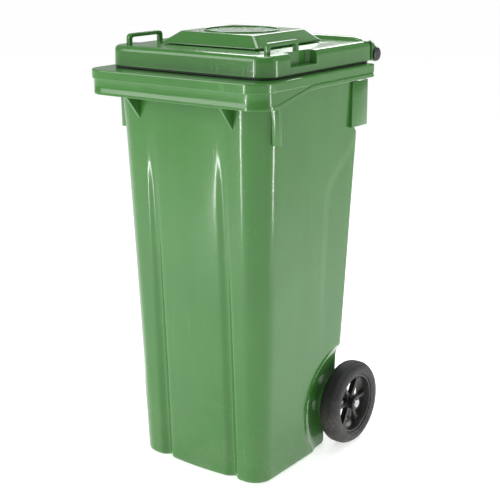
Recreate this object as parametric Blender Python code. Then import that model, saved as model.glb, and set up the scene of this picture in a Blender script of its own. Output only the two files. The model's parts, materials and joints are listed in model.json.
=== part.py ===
"""Two-wheeled refuse bin with a filter lid: container, hinged lid, wheels on a steel axle.

Metres, +Z up. X runs across the bin, the comb ledge faces -Y and the wheels are at +Y.
The origin is the middle of the footprint, on the ground.
"""
import math

import bmesh
import bpy
from mathutils import Vector

GAP = 0.0003                       # clearance between touching pieces

# ---- driving dimensions -------------------------------------------------
HALF_WIDTH = 0.235                 # comb ledge, half of the overall width
LEDGE_FRONT = -0.243
RIM_REAR = 0.168
RIM_TOP = 0.907
RIM_CORNER = 0.0415
FLANGE = 0.0035                    # wall of rim flange and skirt
BODY_WALL = 0.004

BASE_HALF = 0.173                  # container half width at the ground
TOP_HALF = 0.2027                  # ... and under the rim
BASE_FRONT = -0.1865
TOP_FRONT = -0.197
BASE_REAR = 0.1355
TOP_REAR = 0.1775
TUNNEL_REAR = 0.096                # base stops here, the axle runs behind it
TUNNEL_TOP = 0.126
HAND_RECESS = 0.022                # rear wall steps forward under the handle bar

AXLE_Y = 0.143
WHEEL_RADIUS = 0.100
AXLE_RADIUS = 0.010
AXLE_END = 0.2215
AXLE_JOINT = 0.150                 # bar and grooved end meet here, hidden in the spacer
NECK_IN, NECK_OUT = 0.1915, 0.2005  # groove that the wheel latch drops into
NECK_RADIUS = 0.007
HUB_MIDDLE = 0.196                 # middle of the groove, where the latch sits
BRACKET_OUT = 0.134                # outer face of the outer axle bracket
BRACKET_IN = 0.045                 # inner face of the inner one
BRACKET_WALL = 0.010
BRACKET_EYE = 0.018                # radius of the bracket round the axle
SPACER_RADIUS = 0.0145
WASHER_RADIUS = 0.0185
SPACER_OUT = 0.1649
WASHER_OUT = 0.1672

HINGE_Y = 0.201
HINGE_Z = 0.9235
BAR_RADIUS = 0.013
PIN_RADIUS = 0.006
EAR_RADIUS = 0.0165
CAP_RADIUS = 0.015

LID_HALF = 0.2145
LID_FRONT = -0.192
LID_REAR = 0.187
LID_BOTTOM = 0.911
LID_TOP = 0.954
LID_WALL = 0.0035
RIDGE_TOP = 0.962
PLINTH_TOP = 0.962                 # collar round the filter opening
TRAY_SEAT = 0.9532                 # ledge inside the collar that carries the filter tray

COVER_TOP = 0.982
COVER_LIP = 0.959
RING_TOP = 0.985                   # plain round rib on the cover
RING_INNER, RING_OUTER = 0.0795, 0.0825
COVER_HALF = 0.131
COVER_FRONT = -0.115
COVER_REAR = 0.107

LEAN_REAR = 0.130                  # the front of container and lid leans out from here
LEAN_TOP = 0.88
FRONT_LEAN = 0.0693                # share of the depth added at LEAN_TOP and above

ARCH_INNER = 0.108                 # wheel arch: full depth inside this radius
ARCH_OUTER = 0.150                 # ... and blended out at this one
ARCH_X = 0.157

GUSSET_X = 0.122                   # gussets behind the comb ledge
GUSSET_WALL = 0.005
ARM_LOW, ARM_HIGH = 0.176, 0.1955  # outer hinge arms, in X
ARM_MIDDLE = 0.011                 # half width of the middle arm
BAR_END = 0.196
EAR_LOW, EAR_HIGH = 0.1982, 0.2142  # hinge ears of the lid
LOOP_LOW, LOOP_HIGH = 0.179, 0.189  # grab loops
POCKET_INNER = 0.1905
POCKET_FRONT, POCKET_REAR = -0.1185, -0.0295
POCKET_FLOOR = 0.926


# ---- small helpers ------------------------------------------------------
def material(name, colour, rough, metal=0.0):
    mat = bpy.data.materials.new(name)
    mat.use_nodes = True
    shader = mat.node_tree.nodes["Principled BSDF"]
    shader.inputs["Base Color"].default_value = (*colour, 1.0)
    shader.inputs["Roughness"].default_value = rough
    shader.inputs["Metallic"].default_value = metal
    return mat


def smooth(value):
    """Smooth step from 0 to 1."""
    t = min(max(value, 0.0), 1.0)
    return t * t * (3.0 - 2.0 * t)


def mix(low, high, t):
    return low + (high - low) * t


def deepen(y, z):
    """Pull a point forwards, the more the higher it is, so that the front leans out."""
    return y - FRONT_LEAN * min(z / LEAN_TOP, 1.0) * max(LEAN_REAR - y, 0.0)


def new_object(name, bm, mat=None, sharp=35.0, origin=None, leans=False):
    """Turn a bmesh into an object, shaded smooth with sharp creases kept."""
    if leans:
        for vert in bm.verts:
            vert.co.y = deepen(vert.co.y, vert.co.z)
    bmesh.ops.recalc_face_normals(bm, faces=bm.faces)
    centre = Vector(origin or (0.0, 0.0, 0.0))
    bmesh.ops.translate(bm, verts=bm.verts, vec=-centre)
    mesh = bpy.data.meshes.new(name)
    bm.to_mesh(mesh)
    bm.free()
    mesh.shade_smooth()
    mesh.set_sharp_from_angle(angle=math.radians(sharp))
    obj = bpy.data.objects.new(name, mesh)
    obj.location = centre
    bpy.context.scene.collection.objects.link(obj)
    if mat:
        mesh.materials.append(mat)
    obj["leans"] = leans
    return obj


def loft(rings, loop=False):
    """Skin a list of rings; the ends are capped, or joined when loop is true."""
    bm = bmesh.new()
    rows = [[bm.verts.new(point) for point in ring] for ring in rings]
    pairs = list(zip(rows, rows[1:]))
    if loop:
        pairs.append((rows[-1], rows[0]))
    for low, high in pairs:
        count = len(low)
        for i in range(count):
            j = (i + 1) % count
            bm.faces.new((low[i], low[j], high[j], high[i]))
    if not loop:
        bm.faces.new(list(reversed(rows[0])))
        bm.faces.new(rows[-1])
    return bm


def prism(outline, axis, low, high):
    """Extrude a 2-D outline along an axis. X takes (y, z) points, Z takes (x, y)."""
    def place(point, depth):
        if axis == "X":
            return (depth, point[0], point[1])
        return (point[0], point[1], depth)
    return loft([[place(p, low) for p in outline], [place(p, high) for p in outline]])


def turned(stations, centre, steps, loop=False, axis="X"):
    """Rings of (place along axis, radius) about a centre point."""
    rings = []
    for along, radius in stations:
        ring = []
        for i in range(steps):
            angle = 2.0 * math.pi * i / steps
            u, v = radius * math.cos(angle), radius * math.sin(angle)
            if axis == "X":
                ring.append((along, centre[1] + u, centre[2] + v))
            else:
                ring.append((centre[0] + u, centre[1] + v, along))
        rings.append(ring)
    return loft(rings, loop)


def arc(centre, radius, start, end, steps):
    """Points on an arc, angles in degrees."""
    points = []
    for i in range(steps + 1):
        angle = math.radians(mix(start, end, i / steps))
        points.append((centre[0] + radius * math.cos(angle),
                       centre[1] + radius * math.sin(angle)))
    return points


def box(low, high):
    outline = [(low[0], low[1]), (high[0], low[1]), (high[0], high[1]), (low[0], high[1])]
    return prism(outline, "Z", low[2], high[2])


def combine(target, bm, operation, name, upright=False):
    """Add a Boolean modifier whose tool object is hidden from the build."""
    tool = new_object(target.name + "_" + name, bm, leans=target["leans"] and not upright)
    tool.hide_render = True
    tool.display_type = "WIRE"
    modifier = target.modifiers.new(name, "BOOLEAN")
    modifier.operation = operation
    modifier.solver = "EXACT"
    modifier.object = tool
    return tool


def mirrored(points):
    """The same outline on the other side of X = 0, still counter-clockwise."""
    return [(-x, y) for x, y in reversed(points)]


# ---- rounded outline shared by container, rim and lid -------------------
CORNER_STEPS = 5


def rounded_outline(half, front, rear, r_front, r_rear, front_x, side_y, rear_x):
    """Counter-clockwise plan outline, from the middle of the front to the right.

    front_x, side_y and rear_x are the places of the points on the straight stretches
    (positive side only); the number of points is the same for every ring of a loft.
    """
    right = [(x, front) for x in front_x]
    centre = (half - r_front, front + r_front)
    right += arc(centre, r_front, -90, 0, CORNER_STEPS)
    right += [(half, y) for y in side_y]
    centre = (half - r_rear, rear - r_rear)
    right += arc(centre, r_rear, 0, 90, CORNER_STEPS)
    right += [(x, rear) for x in rear_x]
    left = [(-x, y) for x, y in reversed(right[1:])]
    return right + [(0.0, rear)] + left


def spread(low, high, shares):
    return [mix(low, high, share) for share in shares]


# ---- container ----------------------------------------------------------
SIDE_SHARES = (0.14, 0.3, 0.42, 0.52, 0.61, 0.70, 0.79, 0.88)
GROOVE_X = 0.095                   # middle of the grooves beside the front panel
GROOVE_HALF = 0.019


def wall_place(z):
    """Half width, front and rear of the container's outside at a height."""
    t = z / 0.88
    half = mix(BASE_HALF, TOP_HALF, t)
    front = mix(BASE_FRONT, TOP_FRONT, t)
    rear = mix(BASE_REAR, TOP_REAR, t)
    rear -= HAND_RECESS * smooth((z - 0.752) / 0.022)
    return half, front, rear


def front_relief(x, z):
    """How far the front face is pressed in: two grooves that deepen downwards."""
    fade = smooth((0.83 - z) / 0.2)
    depth = mix(0.0105, 0.003, min(z / 0.8, 1.0)) * fade
    groove = depth * smooth(1.0 - abs(abs(x) - GROOVE_X) / GROOVE_HALF)
    bulge = 0.004 * fade * max(0.0, 1.0 - (x / 0.078) ** 2)
    return groove - bulge


def container_ring(z, wall=0.0, inset=0.0, tunnel=False):
    half, front, rear = wall_place(z)
    shift = wall + inset
    r_front = mix(0.042, 0.058, z / 0.88) - wall
    r_rear = 0.030 - wall
    if tunnel:
        rear, r_rear = TUNNEL_REAR, 0.012 - wall
    half, front, rear = half - shift, front + shift, rear - shift
    edge = GROOVE_X + GROOVE_HALF
    front_x = (0.0, 0.03, 0.056, GROOVE_X - GROOVE_HALF, GROOVE_X - 0.009, GROOVE_X + 0.009, edge)
    side_y = spread(front + r_front, rear - r_rear, SIDE_SHARES)
    flat = half - r_rear
    rear_x = (flat * 0.66, flat * 0.33)
    outline = rounded_outline(half, front, rear, r_front, r_rear, front_x, side_y, rear_x)
    ring = []
    for x, y in outline:
        if y < front + 0.002 and abs(x) < edge + 0.002:
            y += front_relief(x, z)
        reach = math.hypot(y - AXLE_Y, z - WHEEL_RADIUS)
        arch = smooth((reach - ARCH_INNER) / (ARCH_OUTER - ARCH_INNER))
        limit = mix(ARCH_X - wall, max(half, ARCH_X), arch)
        x = math.copysign(min(abs(x), limit), x)
        ring.append((x, y, z))
    return ring


def skirt_bottom(y):
    """Lower edge of the rim skirt: deep at the comb ledge, shallow behind it."""
    slope = (y + 0.187) / 0.116
    return mix(0.853, 0.8785, min(max(slope, 0.0), 1.0))


def rim_ring(inset, z=None, lower_tier=False, inner=False):
    half = HALF_WIDTH - inset
    front = LEDGE_FRONT + inset + (0.0045 if lower_tier else 0.0)
    rear = RIM_REAR - inset
    r_front = RIM_CORNER - inset
    r_rear = 0.012 - (0.0035 if inner else 0.0)
    front_x = (0.0, 0.03, 0.065, 0.1, 0.13, 0.158, 0.18)
    side_y = spread(front + r_front, rear - r_rear, SIDE_SHARES)
    outline = rounded_outline(half, front, rear, r_front, r_rear, front_x, side_y, (0.14, 0.07))
    return [(x, y, skirt_bottom(y) if z is None else z) for x, y in outline]


def hinge_arm_outline():
    """Gooseneck from the rim up and back to the handle bar, in (y, z)."""
    back = arc((HINGE_Y, HINGE_Z), BAR_RADIUS - 0.0005, 90, -90, 8)
    return ([(0.149, 0.9045), (0.149, 0.926), (0.158, 0.936)] + back
            + [(0.163, 0.911), (0.1605, 0.9065), (0.1605, 0.9045)])


def build_container(mat):
    under = RIM_TOP - FLANGE
    outer_levels = (0.130, 0.150, 0.172, 0.192, 0.210, 0.228, 0.248, 0.30, 0.45, 0.60,
                    0.70, 0.752, 0.763, 0.774, 0.83, 0.865)
    inner_levels = (0.86, 0.774, 0.763, 0.752, 0.60, 0.30, 0.245, 0.222, 0.200, 0.178, 0.155, 0.134)
    rings = [container_ring(0.0, inset=0.009, tunnel=True)]
    rings.append(container_ring(0.003, inset=0.0028, tunnel=True))
    for z in (0.010, 0.04, 0.07, 0.10, TUNNEL_TOP - 0.0001):
        rings.append(container_ring(z, tunnel=True))
    rings.append(container_ring(TUNNEL_TOP + 0.0001))
    rings += [container_ring(z) for z in outer_levels]
    rings.append(container_ring(under))
    rings.append(rim_ring(FLANGE, under, inner=True))
    rings.append(rim_ring(FLANGE, lower_tier=True, inner=True))
    rings.append(rim_ring(0.0, lower_tier=True))
    rings.append(rim_ring(0.0, 0.8865, lower_tier=True))
    rings.append(rim_ring(0.0, 0.8875))
    rings.append(rim_ring(0.0, RIM_TOP - 0.0015))
    rings.append(rim_ring(0.0015, RIM_TOP))
    rings.append(container_ring(RIM_TOP, BODY_WALL))
    rings += [container_ring(z, BODY_WALL) for z in inner_levels]
    rings.append(container_ring(TUNNEL_TOP + 0.0042, BODY_WALL, tunnel=True))
    rings += [container_ring(z, BODY_WALL, tunnel=True) for z in (0.09, 0.05, 0.012)]
    rings.append(container_ring(0.005, BODY_WALL, inset=0.006, tunnel=True))
    container = new_object("container", loft(rings), mat, leans=True)
    add_container_fittings(container)
    return container


def add_container_fittings(container):
    """Handle bar, hinge arms, comb gussets, corner ribs, rear posts, axle brackets."""
    bar = turned([(-BAR_END, BAR_RADIUS), (BAR_END, BAR_RADIUS)], (0, HINGE_Y, HINGE_Z), 24)
    combine(container, bar, "UNION", "handle_bar")
    for name, low, high in (("arm_left", -ARM_HIGH, -ARM_LOW), ("arm_mid", -ARM_MIDDLE, ARM_MIDDLE),
                            ("arm_right", ARM_LOW, ARM_HIGH)):
        combine(container, prism(hinge_arm_outline(), "X", low, high), "UNION", name)
    gusset = [(-0.1935, 0.800), (-0.1935, 0.9045), (-0.236, 0.9045), (-0.236, 0.858)]
    post = [(0.1985, 0.118), (0.207, 0.118), (0.207, 0.181), (0.185, 0.181), (0.185, 0.1515),
            (0.1925, 0.1462), (0.1965, 0.140), (0.1985, 0.132)]
    rib = [(0.197, -0.160), (0.214, -0.158), (0.214, -0.148), (0.197, -0.146)]
    eye = arc((AXLE_Y, WHEEL_RADIUS), BRACKET_EYE, -110, 0, 8)
    into_roof, into_wall = TUNNEL_TOP + 0.0015, TUNNEL_REAR - 0.002
    bracket = ([(into_wall, into_roof), (into_wall, 0.045)] + eye
               + [(AXLE_Y + BRACKET_EYE, into_roof)])
    for side, sign in (("left", -1.0), ("right", 1.0)):
        low, high = sorted((sign * GUSSET_X, sign * (GUSSET_X + GUSSET_WALL)))
        combine(container, prism(gusset, "X", low, high), "UNION", "gusset_" + side)
        outline = post if sign > 0 else mirrored(post)
        combine(container, prism(outline, "Z", 0.768, 0.870), "UNION", "post_" + side)
        outline = rib if sign > 0 else mirrored(rib)
        combine(container, prism(outline, "Z", 0.772, 0.905), "UNION", "rib_" + side)
        for place, inner in (("outer", BRACKET_OUT - BRACKET_WALL), ("inner", BRACKET_IN)):
            low, high = sorted((sign * inner, sign * (inner + BRACKET_WALL)))
            combine(container, prism(bracket, "X", low, high), "UNION", place + "_bracket_" + side)
        low, high = sorted((sign * 0.170, sign * 0.20))
        bore = turned([(low, PIN_RADIUS + GAP), (high, PIN_RADIUS + GAP)],
                      (0, HINGE_Y, HINGE_Z), 20)
        combine(container, bore, "DIFFERENCE", "pin_bore_" + side)
    bore = turned([(-0.15, AXLE_RADIUS + GAP), (0.15, AXLE_RADIUS + GAP)],
                  (0, AXLE_Y, WHEEL_RADIUS), 24)
    combine(container, bore, "DIFFERENCE", "axle_bore")


# ---- lid ----------------------------------------------------------------
def lid_ring(inset, z, wall=0.0):
    half = LID_HALF - inset - wall
    front = LID_FRONT + inset + wall
    rear = LID_REAR - inset - wall
    r_front = max(0.038 - inset - wall, 0.006)
    r_rear = max(0.015 - inset * 0.5 - wall, 0.004)
    side_y = spread(front + r_front, rear - r_rear, (0.33, 0.66))
    front_x = (0.0, 0.06, 0.12)
    return [(x, y, z) for x, y in
            rounded_outline(half, front, rear, r_front, r_rear, front_x, side_y, (0.12, 0.06))]


def plinth_ring(z, inset=0.0):
    half, front, rear = 0.119 - inset, -0.103 + inset, 0.095 - inset
    radius = 0.016 - inset * 0.5
    side_y = spread(front + radius, rear - radius, (0.33, 0.66))
    front_x = (0.0, 0.04, 0.08)
    return [(x, y, z) for x, y in
            rounded_outline(half, front, rear, radius, radius, front_x, side_y, (0.08, 0.04))]


def ridge_rings():
    """Rolled ridge along the rear edge, dropping towards the hinge ears."""
    half = [(0.2115, 0.9555), (0.204, 0.958), (0.190, 0.9605), (0.172, RIDGE_TOP)]
    stations = [(-x, top) for x, top in half] + list(reversed(half))
    rings = []
    for x, top in stations:
        section = [(0.158, 0.9525), (0.165, top - 0.0006), (0.169, top), (0.181, top),
                   (0.1845, top - 0.0018), (0.1852, top - 0.0045), (0.1852, 0.946),
                   (0.1840, 0.946), (0.1835, 0.952)]
        rings.append([(x, y, z) for y, z in section])
    return rings


def ear_outline():
    """Hinge ear at the lid's rear corner, in (y, z)."""
    boss = arc((HINGE_Y, HINGE_Z), EAR_RADIUS, -100, 62, 12)
    return ([(0.1835, 0.9115)] + boss + [(0.196, 0.9465), (0.1868, 0.951), (0.1835, 0.9505)])


def loop_outline():
    """Grab loop standing on the lid, in (y, z): outside, then back along the inside."""
    outside = ([(-0.0565, 0.9525)] + arc((-0.0665, 0.967), 0.010, 0, 90, 4)
               + arc((-0.150, 0.967), 0.010, 90, 180, 4) + [(-0.1605, 0.9525)])
    inside = ([(-0.1505, 0.9525)] + arc((-0.146, 0.9645), 0.0045, 180, 90, 3)
              + arc((-0.071, 0.9645), 0.0045, 90, 0, 3) + [(-0.0665, 0.9525)])
    return outside + inside


def build_lid(mat):
    inside_top = LID_TOP - LID_WALL
    rings = [lid_ring(0.0, LID_BOTTOM), lid_ring(0.0008, 0.942), lid_ring(0.0024, 0.9495),
             lid_ring(0.0052, 0.9528), lid_ring(0.0095, LID_TOP)]
    rings += [plinth_ring(LID_TOP), plinth_ring(PLINTH_TOP), plinth_ring(PLINTH_TOP, LID_WALL),
              plinth_ring(TRAY_SEAT, LID_WALL), plinth_ring(TRAY_SEAT, 0.0115),
              plinth_ring(inside_top, 0.0115)]
    rings += [lid_ring(0.0065, inside_top, LID_WALL), lid_ring(0.0015, 0.945, LID_WALL),
              lid_ring(0.0, LID_BOTTOM, LID_WALL)]
    hinge = (0.0, HINGE_Y, HINGE_Z)
    lid = new_object("lid", loft(rings, loop=True), mat, origin=hinge, leans=True)
    combine(lid, loft(ridge_rings()), "UNION", "ridge")
    for side, sign in (("left", -1.0), ("right", 1.0)):
        low, high = sorted((sign * EAR_LOW, sign * EAR_HIGH))
        combine(lid, prism(ear_outline(), "X", low, high), "UNION", "ear_" + side)
        low, high = sorted((sign * LOOP_LOW, sign * LOOP_HIGH))
        combine(lid, prism(loop_outline(), "X", low, high), "UNION", "loop_" + side)
        low, high = sorted((sign * (POCKET_INNER - LID_WALL), sign * (LID_HALF - 0.0017)))
        front, rear = POCKET_FRONT - LID_WALL, POCKET_REAR + LID_WALL
        combine(lid, box((low, front, POCKET_FLOOR - LID_WALL), (high, rear, LID_TOP - 0.0025)),
                "UNION", "pocket_block_" + side)
        low, high = sorted((sign * POCKET_INNER, sign * (LID_HALF + 0.0055)))
        combine(lid, box((low, POCKET_FRONT, POCKET_FLOOR), (high, POCKET_REAR, LID_TOP + 0.006)),
                "DIFFERENCE", "pocket_" + side)
        low, high = sorted((sign * 0.1745, sign * 0.1976))
        combine(lid, box((low, 0.174, 0.905), (high, 0.1975, 0.939)), "DIFFERENCE",
                "arm_notch_" + side)
        low, high = sorted((sign * 0.190, sign * 0.220))
        bore = turned([(low, PIN_RADIUS + GAP), (high, PIN_RADIUS + GAP)], hinge, 20)
        combine(lid, bore, "DIFFERENCE", "pin_bore_" + side)
    combine(lid, box((-0.0125, 0.174, 0.905), (0.0125, 0.1975, 0.939)), "DIFFERENCE", "arm_notch_mid")
    return lid


def build_gasket(mat):
    def strip(half, front, corner):
        return ([(half, 0.168)] + [(half, front + corner)]
                + arc((half - corner, front + corner), corner, 0, -90, 6)
                + arc((corner - half, front + corner), corner, -90, -180, 6)
                + [(-half, front + corner), (-half, 0.168)])
    outline = strip(0.2128, -0.1903, 0.0363) + list(reversed(strip(0.2048, -0.1823, 0.0283)))
    distinct = [p for i, p in enumerate(outline) if math.dist(p, outline[i - 1]) > 1e-6]
    bm = prism(distinct, "Z", RIM_TOP + GAP, LID_BOTTOM - GAP)
    return new_object("lid_gasket", bm, mat, leans=True)


# ---- filter unit in the lid ---------------------------------------------
def rectangle_ring(half, front, rear, radius, z):
    outline = (arc((half - radius, front + radius), radius, -90, 0, 3)
               + arc((half - radius, rear - radius), radius, 0, 90, 3)
               + arc((radius - half, rear - radius), radius, 90, 180, 3)
               + arc((radius - half, front + radius), radius, 180, 270, 3))
    return [(x, y, z) for x, y in outline]


def build_filter_cover(mat):
    """Chamfered cover over the filter, standing on the tray's flange with four posts."""
    wall = 0.003
    top_half, top_front, top_rear = 0.100, -0.090, 0.090
    low = (COVER_HALF, COVER_FRONT, COVER_REAR)
    inner = (COVER_HALF - wall, COVER_FRONT + wall, COVER_REAR - wall)
    rings = [rectangle_ring(*low, 0.008, COVER_LIP),
             rectangle_ring(*low, 0.008, COVER_LIP + 0.003),
             rectangle_ring(top_half, top_front, top_rear, 0.006, COVER_TOP),
             rectangle_ring(top_half - 0.004, top_front + 0.004, top_rear - 0.004, 0.004,
                            COVER_TOP + 0.0006),
             rectangle_ring(top_half - wall, top_front + wall, top_rear - wall, 0.005,
                            COVER_TOP - wall),
             rectangle_ring(*inner, 0.006, COVER_LIP + 0.0035),
             rectangle_ring(*inner, 0.006, COVER_LIP)]
    cover = new_object("filter_cover", close_shell(rings), mat, leans=True)
    for side, sign in (("left", -1.0), ("right", 1.0)):
        low_x, high_x = sorted((sign * 0.094, sign * 0.102))
        for place, low_y, high_y in (("front", -0.088, -0.083), ("rear", 0.0775, 0.0825)):
            post = box((low_x, low_y, TRAY_SEAT + 0.0031), (high_x, high_y, COVER_TOP - 0.0025))
            combine(cover, post, "UNION", "post_%s_%s" % (place, side))
    middle = (0.0, deepen((COVER_FRONT + COVER_REAR) / 2, COVER_TOP), 0.0)
    ring = [(COVER_TOP - 0.0015, RING_INNER), (RING_TOP, RING_INNER), (RING_TOP, RING_OUTER),
            (COVER_TOP - 0.0015, RING_OUTER)]
    combine(cover, turned(ring, middle, 48, loop=True, axis="Z"), "UNION", "ring", upright=True)
    return cover


def close_shell(rings):
    """Shell closed over the top: outer rings up to the crown, inner rings back down."""
    outer, inner = rings[:4], rings[4:]
    bm = bmesh.new()
    rows = [[bm.verts.new(p) for p in ring] for ring in outer + inner]
    count = len(rows[0])
    links = [(0, 1), (1, 2), (2, 3), (4, 5), (5, 6), (6, 0)]
    for first, second in links:
        for i in range(count):
            j = (i + 1) % count
            bm.faces.new((rows[first][i], rows[first][j], rows[second][j], rows[second][i]))
    bm.faces.new(rows[3])
    bm.faces.new(rows[4])
    return bm


def build_filter_tray(mat):
    wall = 0.0025
    flange = (0.1145, -0.0985, 0.0905)
    body = (0.100, -0.084, 0.076)
    inner = (body[0] - wall, body[1] + wall, body[2] - wall)
    rings = [rectangle_ring(*body, 0.008, 0.926), rectangle_ring(*body, 0.008, 0.9535),
             rectangle_ring(*flange, 0.016, 0.9535), rectangle_ring(*flange, 0.016, 0.956),
             rectangle_ring(*inner, 0.006, 0.956), rectangle_ring(*inner, 0.006, 0.9285)]
    tray = new_object("filter_tray", loft(rings), mat, leans=True)
    slot_half, slot_gap = 0.004, 0.02
    for i in range(7):
        x = (i - 3) * slot_gap * 1.3
        slot = box((x - slot_half, -0.07, 0.92), (x + slot_half, 0.062, 0.932))
        combine(tray, slot, "DIFFERENCE", "slot_%d" % i)
    return tray


def build_filter_mat(mat):
    rings = [rectangle_ring(0.0965, -0.0805, 0.0725, 0.006, 0.929),
             rectangle_ring(0.0965, -0.0805, 0.0725, 0.006, 0.951)]
    return new_object("filter_mat", loft(rings), mat, leans=True)


# ---- running gear -------------------------------------------------------
def build_axle(mat):
    """Steel bar through the four brackets."""
    hub = (0, AXLE_Y, WHEEL_RADIUS)
    stations = [(-AXLE_JOINT, AXLE_RADIUS), (AXLE_JOINT, AXLE_RADIUS)]
    return new_object("axle", turned(stations, hub, 24), mat, origin=hub)


def build_axle_end(side, sign, mat):
    """End of the bar, with the groove for the wheel latch and a chamfered tip."""
    hub = (0, AXLE_Y, WHEEL_RADIUS)
    chamfer = 0.0012
    stations = [(AXLE_JOINT + GAP, AXLE_RADIUS), (NECK_IN, AXLE_RADIUS), (NECK_IN, NECK_RADIUS),
                (NECK_OUT, NECK_RADIUS), (NECK_OUT, AXLE_RADIUS),
                (AXLE_END - chamfer, AXLE_RADIUS), (AXLE_END, AXLE_RADIUS - chamfer)]
    stations = [(sign * x, r) for x, r in stations]
    return new_object("axle_end_" + side, turned(stations, hub, 24), mat, origin=hub)


def build_wheel(side, sign, mat):
    """Spoked hub: barrel, rim and six spokes in one moulding, with a latch housing."""
    hub = (0, AXLE_Y, WHEEL_RADIUS)
    bore = AXLE_RADIUS + GAP
    barrel = [(0.1675, 0.0165), (0.2185, 0.0155), (0.2185, bore), (0.1675, bore)]
    barrel = [(sign * x, r) for x, r in barrel]
    wheel = new_object("wheel_" + side, turned(barrel, hub, 24, loop=True), mat, origin=hub)
    rim = [(0.178, 0.0655), (0.178, 0.0705), (0.2165, 0.0705), (0.2165, 0.0655),
           (0.2005, 0.0625), (0.1925, 0.0625)]
    rim = [(sign * x, r) for x, r in rim]
    combine(wheel, turned(rim, hub, 48, loop=True), "UNION", "rim")
    spokes = 6
    for i in range(spokes):
        angle = math.radians(360 * i / spokes)
        low, high = sorted((sign * 0.1895, sign * 0.2035))
        spoke = box((low, -0.0048, 0.0145), (high, 0.0048, 0.0635))
        across, up = math.cos(angle), math.sin(angle)
        for vert in spoke.verts:
            y, z = vert.co.y, vert.co.z
            vert.co.y = AXLE_Y + y * up + z * across
            vert.co.z = WHEEL_RADIUS + z * up - y * across
        combine(wheel, spoke, "UNION", "spoke_%d" % i)
    middle = (sign * HUB_MIDDLE, AXLE_Y, 0)
    housing = turned([(WHEEL_RADIUS - 0.038, 0.0082), (WHEEL_RADIUS - 0.0135, 0.0082)],
                     middle, 16, axis="Z")
    combine(wheel, housing, "UNION", "latch_housing")
    for name, low, high, radius in (("tip_bore", 0.009, 0.0195, 0.0033),
                                    ("spring_bore", 0.0187, 0.0352, 0.0053),
                                    ("stem_bore", 0.034, 0.042, 0.0025)):
        cutter = turned([(WHEEL_RADIUS - high, radius), (WHEEL_RADIUS - low, radius)],
                        middle, 16, axis="Z")
        combine(wheel, cutter, "DIFFERENCE", name)
    return wheel


def build_tyre(side, sign, mat):
    profile = [(0.174, 0.071), (0.172, 0.080), (0.1735, 0.089), (0.179, 0.0965), (0.187, 0.0995),
               (0.197, WHEEL_RADIUS), (0.207, 0.0995), (0.214, 0.0965), (0.2205, 0.090),
               (0.2225, 0.081), (0.2195, 0.0725), (0.2185, 0.071)]
    profile = [(sign * x, r) for x, r in profile]
    hub = (0, AXLE_Y, WHEEL_RADIUS)
    return new_object("tyre_" + side, turned(profile, hub, 56, loop=True), mat, origin=hub)


def build_tube(name, low, high, inner, outer, mat):
    hub = (0, AXLE_Y, WHEEL_RADIUS)
    stations = [(low, inner), (low, outer), (high, outer), (high, inner)]
    return new_object(name, turned(stations, hub, 24, loop=True), mat, origin=hub)


def build_latch(side, sign, mat):
    """Plunger: tip in the axle's groove, collar for the spring, stem and pull knob."""
    middle = (sign * HUB_MIDDLE, AXLE_Y, 0)
    stations = [(0.0084, 0.0022), (0.0094, 0.003), (0.019, 0.003), (0.019, 0.005),
                (0.022, 0.005), (0.022, 0.0021), (0.0385, 0.0021), (0.0385, 0.0045),
                (0.0435, 0.0045), (0.0445, 0.0036)]
    stations = [(WHEEL_RADIUS - place, radius) for place, radius in stations]
    return new_object("wheel_latch_" + side, turned(stations, middle, 14, axis="Z"), mat,
                      origin=(middle[0], AXLE_Y, WHEEL_RADIUS - 0.02))


def build_spring(side, sign, mat):
    middle = (sign * HUB_MIDDLE, AXLE_Y, 0)
    stations = [(0.0223, 0.0026), (0.0223, 0.0046), (0.0337, 0.0046), (0.0337, 0.0026)]
    stations = [(WHEEL_RADIUS - place, radius) for place, radius in stations]
    return new_object("latch_spring_" + side, turned(stations, middle, 14, loop=True, axis="Z"),
                      mat, origin=(middle[0], AXLE_Y, WHEEL_RADIUS - 0.028))


def build_hinge_pin(side, sign, mat):
    """Pin through lid ear into the handle bar, with a domed head outside."""
    stations = [(0.1735, PIN_RADIUS - 0.001), (0.1745, PIN_RADIUS), (0.2146, PIN_RADIUS),
                (0.2146, CAP_RADIUS), (0.2175, CAP_RADIUS), (0.2192, CAP_RADIUS - 0.0022),
                (0.2196, CAP_RADIUS - 0.006)]
    stations = [(sign * x, r) for x, r in stations]
    hinge = (0, HINGE_Y, HINGE_Z)
    return new_object("hinge_pin_" + side, turned(stations, hinge, 24), mat, origin=hinge)


def main():
    for obj in list(bpy.data.objects):
        bpy.data.objects.remove(obj)
    green = material("green_plastic", (0.13, 0.36, 0.10), 0.35)
    black = material("black_plastic", (0.015, 0.015, 0.016), 0.45)
    rubber = material("black_rubber", (0.022, 0.022, 0.024), 0.75)
    steel = material("zinc_steel", (0.55, 0.55, 0.56), 0.35, 1.0)
    fibre = material("filter_fibre", (0.22, 0.15, 0.08), 0.95)

    build_container(green)
    build_lid(green)
    build_gasket(rubber)
    build_filter_cover(green)
    build_filter_tray(black)
    build_filter_mat(fibre)
    build_axle(steel)
    for side, sign in (("left", -1.0), ("right", 1.0)):
        build_hinge_pin(side, sign, black)
        build_wheel(side, sign, black)
        build_tyre(side, sign, rubber)
        build_axle_end(side, sign, steel)
        low, high = sorted((sign * (BRACKET_OUT + GAP), sign * SPACER_OUT))
        build_tube("axle_spacer_" + side, low, high, AXLE_RADIUS + GAP, SPACER_RADIUS, black)
        low, high = sorted((sign * (SPACER_OUT + GAP), sign * WASHER_OUT))
        build_tube("axle_washer_" + side, low, high, AXLE_RADIUS + GAP, WASHER_RADIUS, steel)
        build_latch(side, sign, black)
        build_spring(side, sign, steel)
    middle = (deepen(LEDGE_FRONT, RIM_TOP) + AXLE_Y + WHEEL_RADIUS) / 2
    for obj in bpy.data.objects:
        obj.location.y -= middle


main()
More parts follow.
